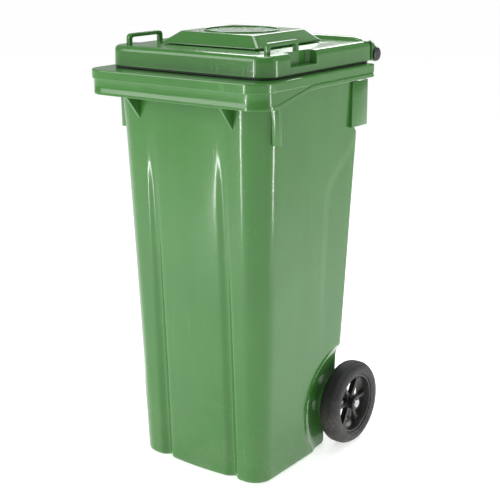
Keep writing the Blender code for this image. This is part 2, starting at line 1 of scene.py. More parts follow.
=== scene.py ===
# %% [markdown]
# # A wheelie bin, moulding by moulding
#
# A wheelie bin is a few large plastic mouldings and a handful of small bought-in parts. The
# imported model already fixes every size, so this lesson builds fine surfaces around it: one
# piece at a time, each at its real place, and then the finishes and a plain studio.

import json
import math

import bmesh
import bpy
from mathutils import Matrix, Vector


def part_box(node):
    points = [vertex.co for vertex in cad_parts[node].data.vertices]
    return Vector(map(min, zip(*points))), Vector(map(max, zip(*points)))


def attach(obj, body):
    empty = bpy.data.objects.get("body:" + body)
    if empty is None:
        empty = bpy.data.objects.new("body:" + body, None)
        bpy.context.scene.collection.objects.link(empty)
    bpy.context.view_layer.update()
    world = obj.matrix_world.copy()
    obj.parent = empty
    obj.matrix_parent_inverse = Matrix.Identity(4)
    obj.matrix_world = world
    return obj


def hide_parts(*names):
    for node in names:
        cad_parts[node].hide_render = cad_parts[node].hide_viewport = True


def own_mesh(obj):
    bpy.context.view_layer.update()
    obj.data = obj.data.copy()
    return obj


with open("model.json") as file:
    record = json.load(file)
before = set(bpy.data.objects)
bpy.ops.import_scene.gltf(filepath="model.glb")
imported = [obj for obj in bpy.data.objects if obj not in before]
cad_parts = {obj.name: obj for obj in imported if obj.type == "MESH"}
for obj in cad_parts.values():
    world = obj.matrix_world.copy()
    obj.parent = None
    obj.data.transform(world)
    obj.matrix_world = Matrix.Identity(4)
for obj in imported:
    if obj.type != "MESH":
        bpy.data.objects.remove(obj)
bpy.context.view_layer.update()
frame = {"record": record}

# %% [markdown]
# ## Read the main sizes from the frame
#
# Nothing is measured twice. Each node's box says where its edges are, so the rim, the lid and
# the wheels below are drawn from these few numbers and stay where the solids are.

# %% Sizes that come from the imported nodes
LEAN, LEAN_TOP, LEAN_REAR = 0.0693, 0.88, 0.130
AXLE_BEHIND = 0.143
axle_low, axle_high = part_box("axle")
SHIFT = (axle_low.y + axle_high.y) / 2 - AXLE_BEHIND


def leaned(y, z):
    """Container and lid are drawn upright; their front leans out, the more the higher."""
    return y - LEAN * min(z / LEAN_TOP, 1.0) * max(LEAN_REAR - y, 0.0)


def upright(y):
    """The place that the lean will carry to y, for anything above LEAN_TOP."""
    return (y + LEAN * LEAN_REAR) / (1.0 + LEAN) if y < LEAN_REAR else y


def drawn_box(node, leans=True):
    """A node's box as it is drawn here, before the lean and the move to the final place."""
    corners = [Vector(corner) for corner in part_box(node)]
    for corner in corners:
        corner.y -= SHIFT
        if leans:
            corner.y = upright(corner.y)
    return corners


rim_low, rim_high = drawn_box("container")
lid_low, lid_high = drawn_box("lid")
cover_low, cover_high = drawn_box("filter_cover")
gasket_low, gasket_high = drawn_box("lid_gasket")
axle_low, axle_high = drawn_box("axle", leans=False)
pin_low, pin_high = drawn_box("hinge_pin_right", leans=False)

HALF_WIDTH = rim_high.x
LEDGE_FRONT = rim_low.y
AXLE = Vector((0.0, (axle_low.y + axle_high.y) / 2, (axle_low.z + axle_high.z) / 2))
HINGE = Vector((0.0, (pin_low.y + pin_high.y) / 2, (pin_low.z + pin_high.z) / 2))
LID_HALF = lid_high.x
LID_FRONT = lid_low.y
LID_BOTTOM = gasket_high.z + 0.0003
RIM_TOP = gasket_low.z - 0.0003
print("axle", AXLE[:], "hinge", HINGE[:], "rim top", round(RIM_TOP, 4))

# %% [markdown]
# ## Tools for working by hand
#
# Most mouldings can be drawn as one outline that changes as it rises. Extruding a circle of
# vertices from outline to outline gives a clean wall in one go; a stack of Booleans could
# make the same shape, but its surface would be broken into slivers.

# %% Start clean and name the new piece
def clear_selection():
    if bpy.context.object and bpy.context.object.mode != "OBJECT":
        bpy.ops.object.mode_set(mode="OBJECT")
    bpy.ops.object.select_all(action="DESELECT")


def named(name):
    piece = bpy.context.object
    piece.name = piece.data.name = name
    return piece


# %% Extrude from outline to outline
def skin(name, rings, closed=False):
    """Extrude a ring of vertices along outlines; closed brings the last back to the first."""
    clear_selection()
    fill = "NOTHING" if closed else "NGON"
    bpy.ops.mesh.primitive_circle_add(vertices=len(rings[0]), fill_type=fill)
    piece = named(name)
    for vertex, place in zip(piece.data.vertices, rings[0]):
        vertex.co = place
    bpy.ops.object.mode_set(mode="EDIT")
    bpy.ops.mesh.select_all(action="SELECT")
    track = list(range(len(rings[0])))
    for ring in rings[1:] + ([rings[0]] if closed else []):
        bpy.ops.mesh.extrude_region_move()
        mesh = bmesh.from_edit_mesh(piece.data)
        mesh.verts.index_update()
        mesh.verts.ensure_lookup_table()
        fresh = []
        for index, place in zip(track, ring):
            old = mesh.verts[index]
            new = next(e.other_vert(old) for e in old.link_edges if e.other_vert(old).select)
            new.co = place
            fresh.append(new.index)
        track = fresh
    tidy_edit()
    return piece


def tidy_edit():
    """Merge doubles, point every face outwards and leave edit mode."""
    bpy.ops.mesh.select_all(action="SELECT")
    bpy.ops.mesh.remove_doubles(threshold=1e-6)
    bpy.ops.mesh.normals_make_consistent(inside=False)
    bpy.ops.object.mode_set(mode="OBJECT")


# %% Turn a profile on an axis, as on a lathe
def turn(name, profile, centre, steps=64, axis="X", solid=False):
    """Spin (along, radius) pairs round an axis; a solid's profile starts and ends on it."""
    clear_selection()
    bpy.ops.mesh.primitive_circle_add(vertices=len(profile))
    piece = named(name)
    for vertex, (along, radius) in zip(piece.data.vertices, profile):
        if axis == "X":
            vertex.co = (along, centre[1], centre[2] + radius)
        else:
            vertex.co = (centre[0], centre[1] + radius, along)
    bpy.ops.object.mode_set(mode="EDIT")
    if solid:
        mesh = bmesh.from_edit_mesh(piece.data)
        mesh.verts.ensure_lookup_table()
        seam = mesh.edges.get((mesh.verts[0], mesh.verts[len(profile) - 1]))
        mesh.edges.remove(seam)
        bmesh.update_edit_mesh(piece.data)
    bpy.ops.mesh.select_all(action="SELECT")
    direction = (1, 0, 0) if axis == "X" else (0, 0, 1)
    bpy.ops.mesh.spin(steps=steps, angle=2 * math.pi, center=centre, axis=direction)
    tidy_edit()
    return piece


# %% Extrude a flat outline into a rib or plate
def plate(name, outline, axis, low, high, round_by=0.0, segments=2):
    """A prism between two depths: X takes (y, z) points and Z takes (x, y) points."""
    if axis == "X":
        rings = [[(depth, a, b) for a, b in outline] for depth in (low, high)]
    else:
        rings = [[(a, b, depth) for a, b in outline] for depth in (low, high)]
    piece = skin(name, rings)
    if round_by:
        bevel(piece, round_by, segments)
    return piece


def block(name, low, high, round_by=0.0, segments=2):
    outline = [(low[0], low[1]), (high[0], low[1]), (high[0], high[1]), (low[0], high[1])]
    return plate(name, outline, "Z", low[2], high[2], round_by, segments)


# %% Modifiers, applied as soon as they are set
def bevel(piece, width, segments=2, angle=40):
    modifier = piece.modifiers.new("round", "BEVEL")
    modifier.width = width
    modifier.segments = segments
    modifier.limit_method = "ANGLE"
    modifier.angle_limit = math.radians(angle)
    apply(piece, modifier)


def apply(piece, modifier):
    bpy.context.view_layer.objects.active = piece
    bpy.ops.object.modifier_apply(modifier=modifier.name)


def combine(piece, tool, operation="UNION"):
    """Weld a tool onto a piece, or cut it out, and throw the tool away."""
    modifier = piece.modifiers.new("weld", "BOOLEAN")
    modifier.operation = operation
    modifier.solver = "EXACT"
    modifier.object = tool
    apply(piece, modifier)
    bpy.data.objects.remove(tool)


def join(pieces):
    """Put separate tools in one object, so that one Boolean does the work of many."""
    clear_selection()
    for piece in pieces:
        piece.select_set(True)
    bpy.context.view_layer.objects.active = pieces[0]
    bpy.ops.object.join()
    return bpy.context.object


def smooth(piece, angle=32):
    clear_selection()
    piece.select_set(True)
    bpy.context.view_layer.objects.active = piece
    bpy.ops.object.shade_smooth_by_angle(angle=math.radians(angle))


# %% Small pieces of geometry
def mix(low, high, share):
    return low + (high - low) * share


def spread(low, high, count):
    """Places between two ends, both left out."""
    return [mix(low, high, (i + 1) / (count + 1)) for i in range(count)]


def ease(value):
    """From 0 to 1 with a soft start and end."""
    share = min(max(value, 0.0), 1.0)
    return share * share * (3.0 - 2.0 * share)


def arc(centre, radius, start, end, steps):
    angles = [math.radians(mix(start, end, i / steps)) for i in range(steps + 1)]
    return [(centre[0] + radius * math.cos(a), centre[1] + radius * math.sin(a)) for a in angles]


def mirrored(outline):
    return [(-x, y) for x, y in reversed(outline)]


SIDES = (("left", -1.0), ("right", 1.0))
slot_of = {entry["node"]: entry["material_slot"] for entry in frame["record"]["subparts"]}
bodies = frame["record"]["behaviour"]["bodies"]
body_of = {node: body for body, nodes in bodies.items() for node in nodes}
made = {}


# %% Put a finished piece in its final place
def seat(piece, node, leans=False, crease=32):
    """Lean and move the mesh, then tie it to the body of the node it stands for, and file it under that
    node.
    """
    for vertex in piece.data.vertices:
        x, y, z = vertex.co
        vertex.co = (x, (leaned(y, z) if leans else y) + SHIFT, z)
    piece.data.update()
    smooth(piece, crease)
    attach(piece, body_of[node])
    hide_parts(node)
    made[node] = piece
    print(node, "has", len(piece.data.polygons), "faces")

# %% [markdown]
# ## The plan outline
#
# Container, rim and lid are all rounded rectangles seen from above, mirrored left to right.
# The front and rear corners differ, so the outline takes a radius for each, and the points
# on the straight stretches are chosen where the surface has something to show.

# %% A rounded, mirrored outline
CORNER_STEPS = 10


def plan(half, front, rear, front_radius, rear_radius, front_x, side_count, rear_count):
    """Counter-clockwise from the middle of the front; front_x are places right of the middle."""
    right = [(x, front) for x in front_x]
    right += arc((half - front_radius, front + front_radius), front_radius, -90, 0, CORNER_STEPS)
    right += [(half, y) for y in spread(front + front_radius, rear - rear_radius, side_count)]
    right += arc((half - rear_radius, rear - rear_radius), rear_radius, 0, 90, CORNER_STEPS)
    right += [(x, rear) for x in spread(half - rear_radius, 0.0, rear_count)]
    left = [(-x, y) for x, y in reversed(right[1:])]
    return right + [(0.0, rear)] + left


# %% [markdown]
# ## Container: the walls
#
# The container is one injection moulding, about 4 mm thick, tapered so that bins stack. Its
# front is stiffened by two grooves beside a slightly bulged panel, its corners by a shallow
# flute, and the wheels sit in coves at the lower rear corners. These are all gentle changes
# of one skin, so they are written as small offsets of the outline and not cut in.

# %% Wall sizes
WALL = 0.004
BASE_HALF, UNDER_RIM_HALF = 0.173, 0.2027
BASE_FRONT, UNDER_RIM_FRONT = -0.1865, -0.197
BASE_REAR, UNDER_RIM_REAR = 0.1355, 0.1775
UNDER_RIM = 0.88
TUNNEL_REAR, TUNNEL_TOP = 0.096, 0.126
HAND_RECESS, RECESS_FOOT = 0.022, 0.752
GROOVE_X, GROOVE_HALF = 0.095, 0.019
COVE_INNER, COVE_OUTER, COVE_X = 0.108, 0.150, 0.157


# %% Taper, grooves and flutes
def wall_place(z):
    share = z / UNDER_RIM
    rear = mix(BASE_REAR, UNDER_RIM_REAR, share) - HAND_RECESS * ease((z - RECESS_FOOT) / 0.022)
    return mix(BASE_HALF, UNDER_RIM_HALF, share), mix(BASE_FRONT, UNDER_RIM_FRONT, share), rear


def front_relief(x, z):
    """Two grooves that deepen downwards, and the bulge of the panel between them."""
    fade = ease((0.83 - z) / 0.2)
    depth = mix(0.0105, 0.003, min(z / 0.8, 1.0)) * fade
    groove = depth * ease(1.0 - abs(abs(x) - GROOVE_X) / GROOVE_HALF)
    return groove - 0.004 * fade * max(0.0, 1.0 - (x / 0.078) ** 2)


def corner_flute(angle, z):
    """Shallow flute down the front corners that runs out in a point near the ground."""
    width = 26.0 * ease((z - 0.115) / 0.16)
    if width <= 0.0:
        return 0.0
    return 0.0016 * ease((1.0 - abs(angle + 52.0) / width) * 2.4) * ease((0.84 - z) / 0.08)


def side_step(y, z):
    """Rear part of the side stands in by a hair behind a line that curves back to the top."""
    line = mix(0.040, 0.152, ease((z - 0.60) / 0.155) ** 1.6)
    return 0.0016 * ease((y - line) / 0.004) * ease((z - 0.27) / 0.05) * ease((0.752 - z) / 0.01)


def cove(y, z, half):
    """Half width left by the round cove over each wheel."""
    reach = math.hypot(y - AXLE.y, z - AXLE.z)
    share = min(max((COVE_OUTER - reach) / (COVE_OUTER - COVE_INNER), 0.0), 1.0)
    return mix(half, min(COVE_X, half), math.sin(share * math.pi / 2))


# %% One outline of the wall
FRONT_X = (0.0, 0.014, 0.028, 0.042, 0.056, 0.067) + tuple(0.0745 + 0.0034 * i for i in range(13))


def wall_ring(z, wall=0.0, inset=0.0, tunnel=False):
    half, front, rear = wall_place(z)
    front_radius = mix(0.042, 0.058, z / UNDER_RIM) - wall
    rear_radius = 0.030 - wall
    if tunnel:
        rear, rear_radius = TUNNEL_REAR, 0.012 - wall
    shift = wall + inset
    half, front, rear = half - shift, front + shift, rear - shift
    outline = plan(half, front, rear, front_radius, rear_radius, FRONT_X, 22, 5)
    centre_x, centre_y = half - front_radius, front + front_radius
    ring = []
    for x, y in outline:
        side = math.copysign(1.0, x)
        if y < front + 1e-5:
            y += front_relief(x, z)
        elif y < centre_y and abs(x) > centre_x:
            angle = math.degrees(math.atan2(y - centre_y, abs(x) - centre_x))
            dent = corner_flute(angle, z)
            x -= side * dent * math.cos(math.radians(angle))
            y -= dent * math.sin(math.radians(angle))
        elif abs(x) > half - 0.001:
            x -= side * side_step(y, z)
        limit = cove(y, z, max(half, COVE_X - wall))
        if wall:
            limit = min(limit, cove(y, z, half + wall) - wall)
        ring.append((side * min(abs(x), limit), y, z))
    return ring


# %% [markdown]
# ## Container: the rim
#
# The rim folds out and down into a skirt. At the front it is deep, in two tiers, and hollow
# below: a lorry's comb pushes up into it to lift the bin. The same extrusion goes on through
# it, so the rim and the wall are one skin as they are in the mould.

# %% One outline of the rim
FLANGE = 0.0035
TIER_STEP, TIER_Z = 0.0045, 0.887
RIM_CORNER, RIM_STRAIGHT = 0.0415, 0.188
SHELL_REAR = 0.168
BEAD = 0.0012


def skirt_edge(y):
    """Lower edge of the skirt: deep behind the comb ledge, rising, then shallow."""
    return mix(0.853, 0.8785, min(max((y + 0.187) / 0.116, 0.0), 1.0))


def rim_ring(inset, above, start="top", tier=0.0, bead=0.0):
    """start says what above is measured from: the top, the step or the lower edge."""
    front = LEDGE_FRONT + inset + TIER_STEP * tier
    corner = max(RIM_CORNER - inset, 0.01)
    front_x = [share / FRONT_X[-1] * RIM_STRAIGHT for share in FRONT_X]
    rear_radius = max(0.012 - inset * 0.6, 0.004)
    outline = plan(HALF_WIDTH - inset, front, SHELL_REAR - inset, corner, rear_radius,
                   front_x, 22, 5)
    ring = []
    for x, y in outline:
        level = {"top": RIM_TOP, "step": TIER_Z, "edge": skirt_edge(y)}[start] + above
        pull = bead * ease((y - LEDGE_FRONT - 0.03) / 0.02) * ease((abs(x) - 0.16) / 0.06)
        ring.append((x - math.copysign(pull, x), y, level))
    return ring


# %% Stack the outlines and skin them
def container_rings():
    rings = [wall_ring(0.0, inset=0.009, tunnel=True)]
    for z, inset in ((0.0006, 0.006), (0.002, 0.0032), (0.0045, 0.0012), (0.008, 0.0)):
        rings.append(wall_ring(z, inset=inset, tunnel=True))
    rings += [wall_ring(z, tunnel=True) for z in spread(0.008, TUNNEL_TOP, 8)]
    rings.append(wall_ring(TUNNEL_TOP - 0.0001, tunnel=True))
    rings.append(wall_ring(TUNNEL_TOP + 0.0001))
    rings += [wall_ring(z) for z in spread(TUNNEL_TOP, 0.262, 17)]
    rings += [wall_ring(z) for z in spread(0.262, 0.57, 7)]
    rings += [wall_ring(z) for z in spread(0.57, 0.738, 11)]
    rings += [wall_ring(z) for z in (0.744, 0.752, 0.757, 0.763, 0.769, 0.774, 0.79, 0.82, 0.85)]
    rings += [wall_ring(z) for z in (0.88, 0.8985, 0.9015)]
    rings.append(wall_ring(RIM_TOP - FLANGE, inset=-0.002))
    rings += [rim_ring(FLANGE + 0.002, -FLANGE), rim_ring(FLANGE, -FLANGE - 0.002)]
    rings += [rim_ring(FLANGE, 0.0012, "edge", 1.0), rim_ring(FLANGE - 0.0008, 0.0, "edge", 1.0)]
    rings += [rim_ring(0.0008, 0.0, "edge", 1.0), rim_ring(0.0, 0.0010, "edge", 1.0)]
    rings += [rim_ring(0.0, 0.0022, "edge", 1.0)]
    rings += [rim_ring(0.0, 0.0075, "edge", 1.0), rim_ring(0.0004, 0.0082, "edge", 1.0, BEAD)]
    rings += [rim_ring(0.0004, -0.0012, "step", 1.0, BEAD)]
    rings += [rim_ring(0.0004, -0.0002, "step", 0.92, BEAD)]
    rings += [rim_ring(0.0003, 0.0002, "step", 0.12, BEAD)]
    rings += [rim_ring(0.0, 0.0014, "step", 0.0, BEAD)]
    rings += [rim_ring(0.0, 0.0026, "step"), rim_ring(0.0, -0.0034), rim_ring(0.0, -0.0022)]
    rings += [rim_ring(0.0006, -0.0008), rim_ring(0.0022, 0.0), rim_ring(0.0034, 0.0)]
    rings += [wall_ring(RIM_TOP, WALL - 0.0015), wall_ring(RIM_TOP - 0.0015, WALL)]
    rings += [wall_ring(z, WALL) for z in (0.86, 0.80, 0.774, 0.768, 0.763, 0.758, 0.752)]
    rings += [wall_ring(z, WALL) for z in (0.70, 0.62, 0.50, 0.38, 0.28)]
    rings += [wall_ring(z, WALL) for z in spread(0.27, 0.134, 12)]
    rings.append(wall_ring(0.134, WALL))
    rings.append(wall_ring(TUNNEL_TOP + 0.0042, WALL, tunnel=True))
    rings += [wall_ring(z, WALL, tunnel=True) for z in (0.11, 0.09, 0.07, 0.05, 0.03, 0.014)]
    rings.append(wall_ring(0.005, WALL, inset=0.006, tunnel=True))
    return rings


shell = skin("container_shell", container_rings())
print("container shell:", len(shell.data.vertices), "vertices")

# %% [markdown]
# ## Container: ribs, handle bar and brackets
#
# Small features that stand off the wall are moulded with it. They are drawn as plates, their
# edges are rounded, and a Boolean welds each one on, because a rib that only touched the wall
# would show a dark gap along its foot. The rear posts are rounded by half a millimetre only:
# with three times that they were lost in the weld.

# %% Handle bar and the necks that carry it
BAR_RADIUS, BAR_END, BAR_ROUND = 0.013, 0.196, 0.0015


def neck_outline():
    back = arc((HINGE.y, HINGE.z), 0.0125, 90, -90, 12)
    top = [(0.149, 0.9045), (0.149, 0.924)] + arc((0.159, 0.9265), 0.0095, 160, 95, 4)
    return top + back + [(0.165, 0.911)] + [(0.1605, 0.9085), (0.1605, 0.9045)]


half_bar = [(BAR_END - BAR_ROUND, BAR_RADIUS), (BAR_END, BAR_RADIUS - BAR_ROUND), (BAR_END, 0.0)]
bar = turn("handle_bar", mirrored(half_bar) + half_bar, HINGE, 40, solid=True)
for low, high in ((-0.1955, -0.176), (-0.011, 0.011), (0.176, 0.1955)):
    combine(bar, plate("neck", neck_outline(), "X", low, high, 0.0015))

# %% Gussets, corner ribs, rear posts and axle brackets
gusset = [(-0.1935, 0.800), (-0.1935, 0.9045), (-0.2365, 0.9045), (-0.2365, 0.858)]
rib = [(0.197, -0.160), (0.2138, -0.158), (0.2138, -0.148), (0.197, -0.146)]
post = [(0.1985, 0.118), (0.207, 0.118), (0.207, 0.181), (0.185, 0.181), (0.185, 0.1515),
        (0.1925, 0.1462), (0.1965, 0.140), (0.1985, 0.132)]
bracket = ([(0.094, 0.1275), (0.094, 0.045)] + arc((AXLE.y, AXLE.z), 0.018, -110, 0, 12)
           + [(AXLE.y + 0.018, 0.1275)])
combine(shell, bar)
for side, sign in SIDES:
    low, high = sorted((sign * 0.1215, sign * 0.1275))
    combine(shell, plate("gusset", gusset, "X", low, high, 0.001))
    combine(shell, plate("rib", rib if sign > 0 else mirrored(rib), "Z", 0.772, 0.9045, 0.0012))
    combine(shell, plate("post", post if sign > 0 else mirrored(post), "Z", 0.768, 0.870, 0.0005))
    for inner, outer in ((0.124, 0.134), (0.045, 0.055)):
        low, high = sorted((sign * inner, sign * outer))
        combine(shell, plate("bracket", bracket, "X", low, high, 0.001))

# %% Bores for hinge pins and axle
PIN_BORE, AXLE_BORE, BRACKETS_END = 0.0063, 0.0103, 0.15


def bore(low, high, radius, centre, steps=32):
    profile = [(low, 0.0), (low, radius), (high, radius), (high, 0.0)]
    return turn("bore", profile, centre, steps, solid=True)


bores = []
for side, sign in SIDES:
    low, high = sorted((sign * 0.170, sign * 0.200))
    bores.append(bore(low, high, PIN_BORE, HINGE))
bores.append(bore(-BRACKETS_END, BRACKETS_END, AXLE_BORE, AXLE, 40))
combine(shell, join(bores), "DIFFERENCE")
seat(shell, "container", leans=True)

# %% [markdown]
# ## Lid: the shell
#
# The lid is a second moulding, hollow below, with a rounded edge that falls into its skirt.
# It has a raised collar in the middle for the filter unit, open through to the inside. One
# extrusion runs up the outside, over the collar, down its bore and back along the inside.

# %% Lid and collar outlines
LID_WALL = 0.0035
LID_SHOULDER, LID_TOP, COLLAR_TOP, TRAY_SEAT = 0.9425, 0.954, 0.962, 0.9532
PLINTH_HALF, PLINTH_FRONT, PLINTH_REAR = 0.119, -0.103, 0.095
LID_X = tuple(0.018 * i for i in range(10))
COLLAR_X = tuple(0.0112 * i for i in range(10))


def lid_ring(inset, z, wall=0.0):
    shift = inset + wall
    front_radius, rear_radius = max(0.038 - shift, 0.006), max(0.015 - inset * 0.5 - wall, 0.004)
    outline = plan(LID_HALF - shift, LID_FRONT + shift, 0.187 - shift, front_radius, rear_radius,
                   LID_X, 10, 5)
    return [(x, y, z) for x, y in outline]


def collar_ring(z, inset=0.0):
    radius = 0.016 - inset * 0.5
    outline = plan(PLINTH_HALF - inset, PLINTH_FRONT + inset, PLINTH_REAR - inset, radius, radius,
                   COLLAR_X, 10, 5)
    return [(x, y, z) for x, y in outline]


rings = [lid_ring(0.0012, LID_BOTTOM), lid_ring(0.0003, LID_BOTTOM + 0.0004)]
rings += [lid_ring(0.0, LID_BOTTOM + 0.0014), lid_ring(0.0, LID_BOTTOM + 0.0026)]
rings += [lid_ring(0.0003, 0.926), lid_ring(0.00055, LID_SHOULDER - 0.0015)]
edge = arc((0.0, 0.0), 1.0, 180, 90, 9)
rings += [lid_ring(0.0093 + 0.0087 * a, mix(LID_SHOULDER, LID_TOP, b)) for a, b in edge]
rings += [lid_ring(0.022, LID_TOP + 0.0002), lid_ring(0.05, LID_TOP + 0.0003)]
rings += [collar_ring(LID_TOP + 0.0002, -0.003), collar_ring(LID_TOP + 0.0009, -0.0009)]
rings += [collar_ring(LID_TOP + 0.003, 0.0), collar_ring(COLLAR_TOP - 0.0012, 0.0003)]
rings += [collar_ring(COLLAR_TOP - 0.0003, 0.0006), collar_ring(COLLAR_TOP, 0.0013)]
rings += [collar_ring(COLLAR_TOP, LID_WALL - 0.0006), collar_ring(COLLAR_TOP - 0.0006, LID_WALL)]
rings += [collar_ring(TRAY_SEAT, LID_WALL), collar_ring(TRAY_SEAT, 0.0107)]
rings += [collar_ring(TRAY_SEAT - 0.0008, 0.0115), collar_ring(LID_TOP - LID_WALL, 0.0115)]
rings += [lid_ring(0.0093 + 0.0087 * a, mix(LID_SHOULDER - 0.001, LID_TOP - LID_WALL, b), LID_WALL)
          for a, b in reversed(edge)]
rings += [lid_ring(0.0008, LID_BOTTOM, LID_WALL)]
lid = skin("lid_shell", rings, closed=True)
print("lid shell:", len(lid.data.vertices), "vertices")

# %% [markdown]
# ## Lid: ridge, ears, loops and hand pockets
#
# A rolled ridge stiffens the rear edge and runs down into the hinge ears. Two grab loops
# stand on the top, each beside a pocket let into the edge, so that a hand can lift the lid.
# Each is a small solid of its own until its edges are rounded, and then it is welded on.

# %% Rolled ridge that drops towards the ears
RIDGE_FRONT, RIDGE_REAR, RIDGE_TOP = 0.158, 0.1852, 0.962


def ridge_section(x):
    top = mix(RIDGE_TOP, 0.9552, ease((abs(x) - 0.168) / 0.0445) ** 1.3)
    crown = [(RIDGE_FRONT, 0.9528), (0.1605, 0.9546), (0.1625, mix(0.9546, top, 0.55)),
             (0.1648, top - 0.0012), (0.1680, top - 0.0001), (0.1720, top), (0.1780, top)]
    crown += [(mix(0.1806, RIDGE_REAR, math.sin(a)), top - 0.0046 * (1 - math.cos(a)))
              for a in (0.0, 0.4, 0.8, 1.2, math.pi / 2)]
    shelf = top - 0.0078
    crown += [(RIDGE_REAR, shelf + 0.0006), (0.1847, shelf), (0.1847, 0.9462), (0.1842, 0.9456)]
    return [(x, y, z) for y, z in crown + [(0.1834, 0.9462), (0.1834, 0.9515)]]


stations = [-0.2118, -0.2105] + [0.0105 * i - 0.2 for i in range(3)] + [-0.160, -0.10, -0.05, 0.0]
stations += [-x for x in reversed(stations[:-1])]
combine(lid, skin("ridge", [ridge_section(x) for x in stations]))

# %% Hinge ears and grab loops
EAR_RADIUS = 0.0165
ear = ([(0.1832, 0.9118)] + arc((HINGE.y, HINGE.z), EAR_RADIUS, -100, 62, 24)
       + [(0.1985, 0.9418), (0.1925, 0.9478), (0.1866, 0.9508), (0.1832, 0.9508)])
outside = ([(-0.0565, 0.9528)] + arc((-0.0665, 0.967), 0.010, 0, 90, 8)
           + arc((-0.150, 0.967), 0.010, 90, 180, 8) + [(-0.1605, 0.9528)])
inside = ([(-0.1505, 0.9528)] + arc((-0.1455, 0.9638), 0.005, 180, 90, 6)
          + arc((-0.0715, 0.9638), 0.005, 90, 0, 6) + [(-0.0665, 0.9528)])
for side, sign in SIDES:
    low, high = sorted((sign * 0.1983, sign * 0.2142))
    combine(lid, plate("ear", ear, "X", low, high, 0.0012, 3))
    low, high = sorted((sign * 0.179, sign * 0.189))
    combine(lid, plate("loop", outside + inside, "X", low, high, 0.0016, 3))

# %% Hand pockets, notches for the hinge necks and bores for the pins
POCKET_INNER, POCKET_FLOOR = 0.1905, 0.926
for side, sign in SIDES:
    low, high = sorted((sign * 0.187, sign * 0.2125))
    combine(lid, block("pocket_wall", (low, -0.122, 0.9225), (high, -0.026, 0.9516)))
    bay = [(0.222, -0.1185)] + arc((POCKET_INNER + 0.007, -0.1115), 0.007, -90, -180, 6)
    bay += arc((POCKET_INNER + 0.011, -0.0405), 0.011, 180, 90, 8) + [(0.222, -0.0295)]
    bay = [(sign * x, y) for x, y in (bay if sign < 0 else reversed(bay))]
    combine(lid, plate("pocket", bay, "Z", POCKET_FLOOR, 0.960), "DIFFERENCE")
    low, high = sorted((sign * 0.1745, sign * 0.1976))
    combine(lid, block("notch", (low, 0.174, 0.905), (high, 0.1975, 0.939), 0.002), "DIFFERENCE")
    low, high = sorted((sign * 0.190, sign * 0.220))
    combine(lid, bore(low, high, PIN_BORE, HINGE), "DIFFERENCE")
combine(lid, block("notch", (-0.0125, 0.174, 0.905), (0.0125, 0.1975, 0.939), 0.002), "DIFFERENCE")

# %% Drain pips round the foot of the collar
PIP_Z = 0.9583


def pip(place, radius=0.0016):
    clear_selection()
    bpy.ops.mesh.primitive_uv_sphere_add(segments=12, ring_count=8, radius=radius)
    piece = named("pip")
    for vertex in piece.data.vertices:
        vertex.co = vertex.co + Vector(place)
    return piece


pips = []
for share in spread(-0.092, 0.092, 11):
    pips.append(pip((share, PLINTH_FRONT + 0.0009, PIP_Z)))
for share in spread(PLINTH_FRONT + 0.012, PLINTH_REAR - 0.012, 11):
    pips += [pip((sign * (PLINTH_HALF - 0.0009), share, PIP_Z)) for _, sign in SIDES]
combine(lid, join(pips))
seat(lid, "lid", leans=True)

# %% [markdown]
# ## Filter cover
#
# The raised cover keeps rain out of the filter. It hangs over the collar with a short lip,
# slopes inwards and is flat on top, where a thin round rib frames an empty field. Its corners
# are rounded by drawing each level as its own rounded rectangle.

# %% Cover shell, open below
def rectangle(half, front, rear, radius, z, steps=8):
    outline = arc((half - radius, front + radius), radius, -90, 0, steps)
    outline += arc((half - radius, rear - radius), radius, 0, 90, steps)
    outline += arc((radius - half, rear - radius), radius, 90, 180, steps)
    outline += arc((radius - half, front + radius), radius, 180, 270, steps)
    return [(x, y, z) for x, y in outline]


COVER_HALF, COVER_FRONT, COVER_REAR = cover_high.x, cover_low.y, cover_high.y
CROWN_HALF, CROWN_FRONT, CROWN_REAR = 0.100, -0.090, 0.090
COVER_LIP, COVER_TOP = cover_low.z, 0.982


def cover_level(share, z, inset=0.0, radius=0.009):
    return rectangle(mix(COVER_HALF, CROWN_HALF, share) - inset,
                     mix(COVER_FRONT, CROWN_FRONT, share) + inset,
                     mix(COVER_REAR, CROWN_REAR, share) - inset, radius, z)


levels = [cover_level(0, COVER_LIP, 0.0028), cover_level(0, COVER_LIP, 0.0007)]
levels += [cover_level(0, COVER_LIP + 0.0007), cover_level(0, COVER_LIP + 0.0024)]
levels += [cover_level(0.012, COVER_LIP + 0.0032), cover_level(0.04, COVER_LIP + 0.0039)]
levels += [cover_level(s, mix(COVER_LIP + 0.003, COVER_TOP, s)) for s in (0.2, 0.5, 0.8, 0.93)]
levels += [cover_level(0.965, COVER_TOP - 0.00055), cover_level(1.0, COVER_TOP - 0.00015)]
levels += [cover_level(1.0, COVER_TOP, 0.0016)]
cover = skin("cover_shell", levels)
inner = [cover_level(share, z, 0.003, 0.007)
         for share, z in ((0, COVER_LIP - 0.002), (0, COVER_LIP + 0.003), (1.0, COVER_TOP - 0.003))]
combine(cover, skin("cover_inside", inner), "DIFFERENCE")

